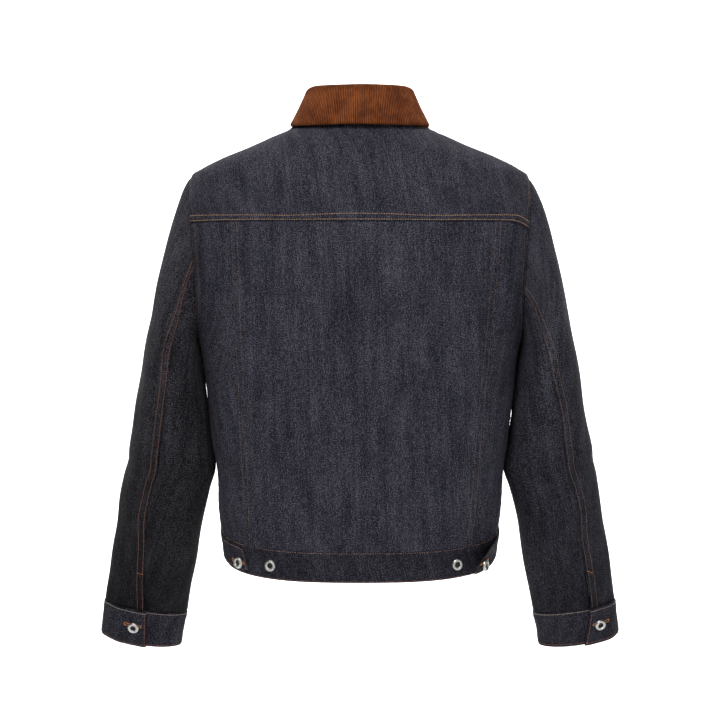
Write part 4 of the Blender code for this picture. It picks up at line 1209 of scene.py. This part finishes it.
def sleeve_cloths(sleeve, label):
    v = np.concatenate([shares(0.20, 0.0038, high=False), 1 + shares(0.3435, 0.0038, low=False)[1:]])
    rear, front = sleeve.rear_seam(v), sleeve.front_seam(v)
    for name, start, end, arc in (
        (f"sleeve_{label}_top", front - 360, rear, 0.25),
        (f"sleeve_{label}_under", rear, front, 0.20),
    ):
        s = shares(arc, 0.0040)
        turn = start[:, None] + (end - start)[:, None] * s
        grid = pairs(turn, v[:, None])[::-1]
        if sleeve.side < 0:
            grid = grid[:, ::-1]
        cloth = Cloth(f"{name}_cloth", grid, sleeve.out)
        first, last = sides(sleeve.side)
        if name.endswith("top"):
            cloth.seam(last, "over", 41 + sleeve.side)
            cloth.seam(first, "over", 44 + sleeve.side, rows=())
        else:
            cloth.seam(first, "under", 41 + sleeve.side)
            cloth.seam(last, "under", 44 + sleeve.side)
        cloth.seam("high", "under", 18 + sleeve.side)
        cloth.seam("low", "under", 47)
        near_cuff = smooth((VENT_LENGTH - cloth.far["low"]) / 0.03)
        rear_edge, way = (last, 1.0) if name.endswith("top") else (first, -1.0)
        cloth.height += way * VENT_FLARE * near_cuff * np.exp(-((cloth.far[rear_edge] / 0.007) ** 2))
        cloth.height += PANEL_SWELL * swell(cloth.along, cloth.up, 50 + sleeve.side, 0.04, 0.12)
        yield cloth.finish(PANEL_SHELL), name


def band_strip(name, grid, lift, out, rows, thickness=BAND_CLOTH):
    cloth = Cloth(name, grid, lambda a, b, h: out(a, b, h + lift))
    for edge in ("low", "high"):
        cloth.seam(edge, "over", 61, rise=BAND_EDGE_RISE, rows=rows, pucker=0.00025)
    for edge in ("left", "right"):
        cloth.seam(edge, "over", 62, rise=BAND_EDGE_RISE, rows=rows, pucker=0.0002)
    cloth.height += BAND_SWELL * swell(cloth.along, cloth.up, 63, 0.02, 0.06)
    return cloth.finish(thickness)


def cuff_cloth(sleeve, label):
    share = shares(0.32, 0.0035)
    bottom_v = 2 + CUFF_HEIGHT / abs(CUFF_TOP_Z - SLEEVE[0].z)
    v = 2 + (bottom_v - 2) * shares(CUFF_HEIGHT, 0.0030)[:, None]
    end = sleeve.rear_seam(v[:, 0])[:, None] + CUFF_END_PAST
    grid = pairs(end - (360 + CUFF_LAP) * (1 - share), v)[::-1]
    lift = BAND_PROUD + (BAND_CLOTH + SEAM_GAP) * lap_lift(share, CUFF_LAP / (360 + CUFF_LAP))
    lift = lift + LAP_FLARE * np.exp(-(((1 - share) / 0.05) ** 2))
    lift = np.broadcast_to(lift[None, :], grid.shape[:2])
    if sleeve.side < 0:
        grid, lift = grid[:, ::-1], lift[:, ::-1]
    return band_strip(f"cuff_{label}_cloth", grid, lift, sleeve.out, EDGE_ROW)


def waistband_cloth():
    middle_z = float(hem_z(1.0)) + BAND_HEIGHT / 2
    under_u = float(u_at(middle_z, 0, -BAND_LAP_X, 0.5, 1.12)[0])
    over_u = -2 + float(u_at(middle_z, 0, BAND_LAP_X, 0.5, 1.12)[0])
    share = shares(1.02, 0.0036)
    u = under_u + (over_u - under_u) * share
    rows = shares(BAND_HEIGHT, 0.0030)
    grid = pairs(u[None, :], hem_z(u)[None, :] + BAND_HEIGHT * rows[:, None])[:, ::-1]
    lift = BAND_PROUD + (BAND_CLOTH + SEAM_GAP) * lap_lift(share, (under_u - over_u - 2) / (under_u - over_u))
    lift = np.broadcast_to(lift[None, ::-1], grid.shape[:2])
    return band_strip("waistband_cloth", grid, lift, torso_out, (0.0020,))


def tab_cloth(tab):
    share = shares(0.125, 0.0030)
    low = hem_z(TAB_LEVEL_U) + TAB_MARGIN
    high = hem_z(TAB_LEVEL_U) + BAND_HEIGHT - TAB_MARGIN
    lower_u = float(u_at(low, 0, tab.lower_x, 0.0, 0.5)[0])
    upper_u = float(u_at(high, 0, tab.upper_x, 0.0, 0.5)[0])
    rows = shares(0.030, 0.0030)[:, None]
    u = tab.root_u + (lower_u + (upper_u - lower_u) * rows - tab.root_u) * share[None, :]
    height = BAND_HEIGHT - 2 * TAB_MARGIN
    rounding = TAB_ROUNDING * height * np.clip((share - TAB_ROUND_FROM) / (1 - TAB_ROUND_FROM), 0, 1) ** 2
    z = hem_z(u) + TAB_MARGIN + rounding + (height - 2 * rounding) * rows
    lift = np.broadcast_to(tab_lift(tab, share), u.shape)
    grid = pairs(tab.side * u, z)
    if tab.side > 0:
        grid, lift = grid[:, ::-1], lift[:, ::-1]
    label = "left" if tab.side < 0 else "right"
    return band_strip(f"waist_tab_{label}_cloth", grid, lift, torso_out, EDGE_ROW, TAB_CLOTH)


# Collar

STAND_TUCK = 0.006


def collar_piece():
    """Corduroy stand and fall, with its wales running down from the fold."""
    foot = neck_point(np.linspace(-1, 1, 201))
    length = float(gathered(foot[None], 1)[0, -1])
    wales = round(length / WALE)
    along = np.linspace(-1, 1, wales * WALE_STEPS + 1)
    middle = collar_sections(along, 7, 9, 14)
    down = middle[0] - middle[1]
    tucked = middle[0] + STAND_TUCK * down / np.linalg.norm(down, axis=1, keepdims=True)
    middle = np.concatenate([tucked[None], middle])[::-1]
    normal = -grid_normals(middle)
    across = gathered(middle, 1)
    down = gathered(middle, 0)
    phase = np.arange(len(along)) / WALE_STEPS
    rib = np.abs(np.sin(math.pi * phase)) ** 0.7 - 0.6
    rib = rib[None, :] * WALE_RISE * (1 + 0.25 * swell(across, down, 71, 0.006, 0.02))
    near = np.minimum(down, down[-1:] - down)
    side = np.minimum(across, across[:, -1:] - across)
    edge = np.minimum(near, side)
    half = COLLAR_CLOTH / 2 * np.sqrt(np.clip(1 - (1 - np.clip(edge / 0.0016, 0, 1)) ** 2, 0.02, 1))
    cloth = Cloth.__new__(Cloth)
    cloth.name = "collar_cloth"
    cloth.flip = 1
    cloth.along, cloth.up = np.broadcast_to(phase * WALE, across.shape), down
    wave = 0.0003 * swell(across, down, 72, 0.05, 0.12)
    cloth.outer = middle + normal * (half + rib + wave)[..., None]
    cloth.inner = middle - normal * (half + rib - wave)[..., None]
    return cloth


# Sewing

THREAD_RADIUS = 0.00048
STITCH_PITCH = 0.0031
STITCH_SHAPE = ((0.0, 0.25, -0.9), (0.18, 0.85, 0.1), (0.5, 1.0, 0.45), (0.82, 0.85, 0.1), (1.0, 0.25, -0.9))
STITCH_SIDES = 6


def stitches(name, lines, made, pitch=STITCH_PITCH, radius=THREAD_RADIUS, sunk=0.0):
    """Separate stitches of thread along lines of points and normals, all in one piece.
    Each lies deeper in the cloth by a random amount of up to sunk radii."""
    pick = np.random.default_rng(len(name))
    points, faces = [], []
    count = 0
    turns = 2 * math.pi * np.arange(STITCH_SIDES) / STITCH_SIDES
    for line, lift in lines:
        length = gathered(line[None], 1)[0]
        total = length[-1]
        number = max(1, int(total / pitch))
        for k in range(number):
            start, end = (k + 0.10) * total / number, (k + 0.92) * total / number
            at = np.array([start + (end - start) * t for t, _, _ in STITCH_SHAPE])
            place = np.stack([np.interp(at, length, line[:, i]) for i in range(3)], -1)
            out = np.stack([np.interp(at, length, lift[:, i]) for i in range(3)], -1)
            out /= np.linalg.norm(out, axis=1, keepdims=True)
            way = place[-1] - place[0]
            way /= max(np.linalg.norm(way), 1e-9)
            depth = sunk * pick.uniform(0, 1)
            side = np.cross(way, out)
            side /= np.maximum(np.linalg.norm(side, axis=1, keepdims=True), 1e-9)
            for (_, wide, rise), p, o, s in zip(STITCH_SHAPE, place, out, side):
                middle = p + o * (rise - depth) * radius
                ring = middle + radius * wide * (np.cos(turns)[:, None] * s + np.sin(turns)[:, None] * o)
                points.append(ring)
            for ring in range(len(STITCH_SHAPE) - 1):
                for j in range(STITCH_SIDES):
                    n = (j + 1) % STITCH_SIDES
                    a = count + ring * STITCH_SIDES
                    faces.append((a + j, a + n, a + STITCH_SIDES + n, a + STITCH_SIDES + j))
            count += len(STITCH_SHAPE) * STITCH_SIDES
    faces = np.array(faces)
    return build(name, np.concatenate(points), faces, np.zeros(len(faces)), [made])


BUTTON_LATHE = (  # radius and height as shares of the button's radius
    (0.00, 0.06),
    (0.12, 0.06),
    (0.30, 0.05),
    (0.38, 0.08),
    (0.42, 0.20),
    (0.46, 0.34),
    (0.53, 0.45),
    (0.62, 0.51),
    (0.72, 0.53),
    (0.82, 0.50),
    (0.91, 0.41),
    (0.97, 0.29),
    (1.00, 0.16),
    (0.99, 0.06),
    (0.94, 0.00),
    (0.80, -0.05),
    (0.00, -0.05),
)
BUTTON_NOTCHES = 11
NOTCH_DEPTH = 0.10
BUTTON_TURNS = 66


def button_piece(node):
    """A metal donut button in place of a plain one, on the same seat."""
    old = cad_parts[node]
    points = np.array([old.matrix_world @ v.co for v in old.data.vertices])
    middle = points.mean(axis=0)
    spread = np.linalg.svd(points - middle)[2]
    normal = spread[2]
    inside = (0.306 * np.sign(middle[0]), 0.065, middle[2]) if "cuff" in node else (0.0, 0.0, middle[2])
    outward = middle - np.array(inside)
    if normal @ outward < 0:
        normal = -normal
    along = (points - middle) @ normal
    base = middle + normal * along.min()
    across = np.cross(normal, (0, 0, 1.0))
    across /= np.linalg.norm(across)
    up = np.cross(across, normal)
    turns = 2 * math.pi * np.arange(BUTTON_TURNS) / BUTTON_TURNS
    rings = []
    for radius, height in BUTTON_LATHE:
        ring = np.cos(turns)[:, None] * across + np.sin(turns)[:, None] * up
        notch = NOTCH_DEPTH * np.exp(-(((radius - 0.72) / 0.16) ** 2)) * np.cos(BUTTON_NOTCHES * turns) ** 6
        rings.append(base + BUTTON_RADIUS * (radius * ring + (height - notch)[:, None] * normal))
    index = np.arange(len(rings) * BUTTON_TURNS).reshape(len(rings), BUTTON_TURNS)
    ahead = np.roll(index, -1, axis=1)
    faces = np.stack([index[:-1], index[1:], ahead[1:], ahead[:-1]], -1).reshape(-1, 4)
    # The bottom and inner wall of the button's middle take the painted shade of its hole.
    slots = np.repeat([1 if r[0] < 0.44 and r[1] > 0 else 0 for r in BUTTON_LATHE[:-1]], BUTTON_TURNS)
    piece = build(f"{node}_donut", np.concatenate(rings), faces, slots, [METAL_NEW, HOLE_SHADE])
    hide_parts(node)


# Everything together

CUTS = {}


def declare(piece, cloth):
    """States the cloth's flat cut."""
    width = float(cloth.along[:, -1].max())
    length = float(cloth.up[-1].max())
    face = cloth.outer
    rising, falling = face[1:, 1:] - face[:-1, :-1], face[:-1, 1:] - face[1:, :-1]
    area = float(np.linalg.norm(np.cross(rising, falling), axis=-1).sum() / 2)
    CUTS[piece.name] = (round(width, 3), round(length, 3), round(area, 4))


def dress():
    cloths = {}

    def put_on(cloth, node, outside, inside):
        cloths[node] = cloth
        piece = shell(cloth, [outside, inside], node)
        declare(piece, cloth)

    for cloth, node in [*back_cloths(), *front_cloths()]:
        put_on(cloth, node, OUTSIDE, INSIDE)
    cuffs = {}
    for label, side in (("left", -1), ("right", 1)):
        sleeve = Sleeve(side)
        for cloth, node in sleeve_cloths(sleeve, label):
            put_on(cloth, node, OUTSIDE_LEFT_SHADED if side < 0 else OUTSIDE_RIGHT_SHADED, INSIDE)
        cuffs[f"cuff_{label}"] = cuff_cloth(sleeve, label)
    for node, cloth in cuffs.items():
        put_on(cloth, node, BANDS, BANDS)
    put_on(waistband_cloth(), "waistband", BANDS, BANDS)
    for tab in WAIST_TABS:
        label = "left" if tab.side < 0 else "right"
        put_on(tab_cloth(tab), f"waist_tab_{label}", BANDS, BANDS)
    put_on(collar_piece(), "collar", CORD, CORD)
    for node in list(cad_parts):
        if node.startswith("button_"):
            button_piece(node)
    return cloths


FINE_THREAD = 0.00036
Row = namedtuple("Row", "node edge distances start end", defaults=(0, 0))
Group = namedtuple("Group", "name thread sunk rows radius", defaults=(FINE_THREAD,))
TAB_EDGES = ("low", "high", "left", "right")
SEWING = (
    Group("stitches_yoke", GOLD, 0.4, (Row("back_yoke", "low", STITCH_ROWS),), THREAD_RADIUS),
    Group("stitches_neck", TAN, 0.8, (Row("back_yoke", "high", EDGE_ROW),)),
    Group("stitches_shoulder", ORANGE, 1.2, (Row("back_yoke", "high", (0.0060,), 0.36, 0.02),)),
    Group(
        "stitches_back_panels",
        DULL,
        1.1,
        (Row("back_centre", "left", STITCH_ROWS), Row("back_centre", "right", STITCH_ROWS)),
    ),
    Group(
        "stitches_armholes",
        DULL,
        0.9,
        (
            Row("back_yoke", "left", STITCH_ROWS),
            Row("back_yoke", "right", STITCH_ROWS),
            Row("back_side_left", "left", STITCH_ROWS),
            Row("back_side_right", "right", STITCH_ROWS),
        ),
    ),
    Group("stitches_sleeve_left", RUST, 1.3, (Row("sleeve_left_top", "left", STITCH_ROWS),)),
    Group("stitches_sleeve_right", DULL, 1.3, (Row("sleeve_right_top", "right", STITCH_ROWS),)),
    Group("stitches_waist", TAN, 1.1, (Row("waistband", "high", (0.0018,)),)),
    Group("stitches_hem", RUST, 0.8, (Row("waistband", "low", (0.0018,)),)),
    Group("stitches_placket", DULL, 0.6, tuple(Row("front_placket", e, EDGE_ROW) for e in ("left", "right"))),
    Group("stitches_cuff_top_left", PALE, 0.9, (Row("cuff_left", "high", (0.0020,)),)),
    Group("stitches_cuff_top_right", PALE, 0.9, (Row("cuff_right", "high", (0.0020,)),)),
    Group(
        "stitches_cuff_hem_left",
        RUST,
        0.6,
        (Row("cuff_left", "low", (0.0028,)), Row("cuff_left", "left", EDGE_ROW)),
    ),
    Group(
        "stitches_cuff_hem_right",
        RUST,
        0.6,
        (Row("cuff_right", "low", (0.0038,)), Row("cuff_right", "right", EDGE_ROW)),
    ),
    *(
        Group(
            f"stitches_tab_{side}",
            made,
            0.8,
            tuple(Row(f"waist_tab_{side}", e, EDGE_ROW, 0.002, 0.002) for e in TAB_EDGES),
        )
        for side, made in (("left", TAN), ("right", RUST))
    ),
)
Tack = namedtuple("Tack", "name node edge start end")
TACKS = (  # bars of close stitching; start and end as metres in from the edge and up from the low edge
    Tack("tack_vent_left", "sleeve_left_top", "left", (0.0012, 0.063), (0.0100, 0.063)),
    Tack("tack_vent_right", "sleeve_right_top", "right", (0.0012, 0.065), (0.0082, 0.060)),
    Tack("tack_cuff_right", "cuff_right", "right", (0.0010, 0.0040), (0.0030, 0.0040)),
)
HOLES = (  # the node that each buttonhole is in, and the end of it that the hole opens towards
    ("cuff_left", "left"),
    ("cuff_right", "right"),
    ("waist_tab_left", "right"),
    ("waist_tab_right", "left"),
)
HOLE_LOOP = (  # a buttonhole's stitching, along from the button's middle and up from it, in metres
    (-0.0095, 0.0),
    (-0.0088, 0.0014),
    (0.0, 0.0014),
    (0.0110, 0.0012),
    (0.0130, 0.0019),
    (0.0150, 0.0014),
    (0.0157, 0.0),
    (0.0150, -0.0014),
    (0.0130, -0.0019),
    (0.0110, -0.0012),
    (0.0, -0.0014),
    (-0.0088, -0.0014),
    (-0.0095, 0.0),
)
CLOSE_PITCH = 0.0011
CLOSE_RADIUS = 0.00070


def tack(name, spots, close=12):
    """Close stitching along a line of places on a cloth."""
    at = np.linspace(0, len(spots) - 1, close * (len(spots) - 1) + 1)
    steps = np.arange(len(spots))
    line, lift = (np.stack([np.interp(at, steps, spots[:, k, i]) for i in range(3)], -1) for k in (0, 1))
    piece = stitches(name, [(line, lift)], ORANGE, CLOSE_PITCH, CLOSE_RADIUS)


def sew(cloths):
    for group in SEWING:
        lines = []
        for row in group.rows:
            lines += [cloths[row.node].line(row.edge, far, row.start, row.end) for far in row.distances]
        piece = stitches(group.name, lines, group.thread, radius=group.radius, sunk=group.sunk)
    for bar in TACKS:
        cloth = cloths[bar.node]
        tack(bar.name, np.array([cloth.spot(bar.edge, *bar.start), cloth.spot(bar.edge, *bar.end)]))
    for node, edge in HOLES:
        cloth = cloths[node]
        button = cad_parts["button_" + node.replace("waist_", "")]
        middle = np.mean([button.matrix_world @ v.co for v in button.data.vertices], axis=0)
        row, column = np.unravel_index(
            np.argmin(np.linalg.norm(cloth.outer - middle, axis=-1)), cloth.outer.shape[:2]
        )
        along, up = cloth.far[edge][row, column], cloth.up[row, column]
        tack(f"buttonhole_{node}", np.array([cloth.spot(edge, along + a, up + b) for a, b in HOLE_LOOP]), 3)


# Studio: the photo's frame is 720 pixels each way, and its camera is level and straight behind
PHOTO_PIXELS = 720
FOCAL_PIXELS = 1605.8
SENSOR = 36
CAMERA_PLACE = (0, -2.2, -0.315)
FLOOR_Z = -0.86
FLOOR_HALF_WIDTH = 7
FLOOR_START_Y = -6
CURVE_START_Y = 2.2
CURVE_RADIUS = 1.2
WALL_TOP_Z = 5.0
SOFT_WORLD = 0.10


def lamp(name, place, aim, size, power):
    light = bpy.data.lights.new(name, "AREA")
    light.shape = "RECTANGLE"
    light.size, light.size_y = size
    light.energy = power
    made = bpy.data.objects.new(name, light)
    made.location = place
    made.rotation_euler = (Vector(aim) - Vector(place)).to_track_quat("-Z", "Y").to_euler()
    bpy.context.scene.collection.objects.link(made)


def studio():
    camera = bpy.data.objects.new("camera", bpy.data.cameras.new("camera"))
    camera.location = CAMERA_PLACE
    camera.rotation_euler = (math.radians(90), 0, 0)
    camera.data.sensor_width = SENSOR
    camera.data.lens = SENSOR * FOCAL_PIXELS / PHOTO_PIXELS
    bpy.context.scene.collection.objects.link(camera)
    bpy.context.scene.camera = camera

    floor = bpy.data.meshes.new("studio_floor")
    form = bmesh.new()
    run = [(FLOOR_START_Y, FLOOR_Z), (CURVE_START_Y, FLOOR_Z)]
    for a in np.linspace(0.1, math.pi / 2, 12):
        run.append((CURVE_START_Y + CURVE_RADIUS * math.sin(a), FLOOR_Z + CURVE_RADIUS * (1 - math.cos(a))))
    run.append((CURVE_START_Y + CURVE_RADIUS, WALL_TOP_Z))
    ends = (-FLOOR_HALF_WIDTH, FLOOR_HALF_WIDTH)
    rows = [[form.verts.new((x, y, z)) for x in ends] for y, z in run]
    for low, high in zip(rows, rows[1:]):
        form.faces.new((low[0], low[1], high[1], high[0]))
    form.to_mesh(floor)
    form.free()
    for face in floor.polygons:
        face.use_smooth = True
    paper, tree, shader = nodes_of("studio_paper")
    place = add(tree, "ShaderNodeTexCoord")
    tone = noise(tree, place.outputs["Object"], 2.0, 0.5)
    colour = ramp(tree, tone, ((0.0, (0.90, 0.90, 0.90)), (1.0, (0.94, 0.94, 0.94))))
    link(tree, colour, shader.inputs["Base Color"])
    sockets(shader, {"Roughness": 0.9})
    floor.materials.append(paper)
    made = bpy.data.objects.new("studio_floor", floor)
    bpy.context.scene.collection.objects.link(made)
    made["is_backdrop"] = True

    world = bpy.data.worlds.new("studio")
    world.use_nodes = True
    sockets(world.node_tree.nodes["Background"], {"Color": (1, 1, 1, 1), "Strength": SOFT_WORLD})
    bpy.context.scene.world = world
    lamp("key", (-0.35, -1.35, 1.45), (0, 0, -0.15), (0.9, 0.9), 36)
    lamp("fill", (1.0, -2.0, 0.1), (0.05, 0, -0.3), (1.0, 1.0), 9)
    for x in (-1.5, 1.5):
        lamp("wash", (x, 1.3, 1.7), (x * 0.6, 3.4, -0.6), (1.5, 0.8), 130)
    bpy.context.scene.view_settings.view_transform = "Standard"


sew(dress())
studio()
for name, cut in CUTS.items():
    print("cut", name, cut)
repr([[list(map(float, corner)) for corner in box] for box in (cad_box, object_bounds())])
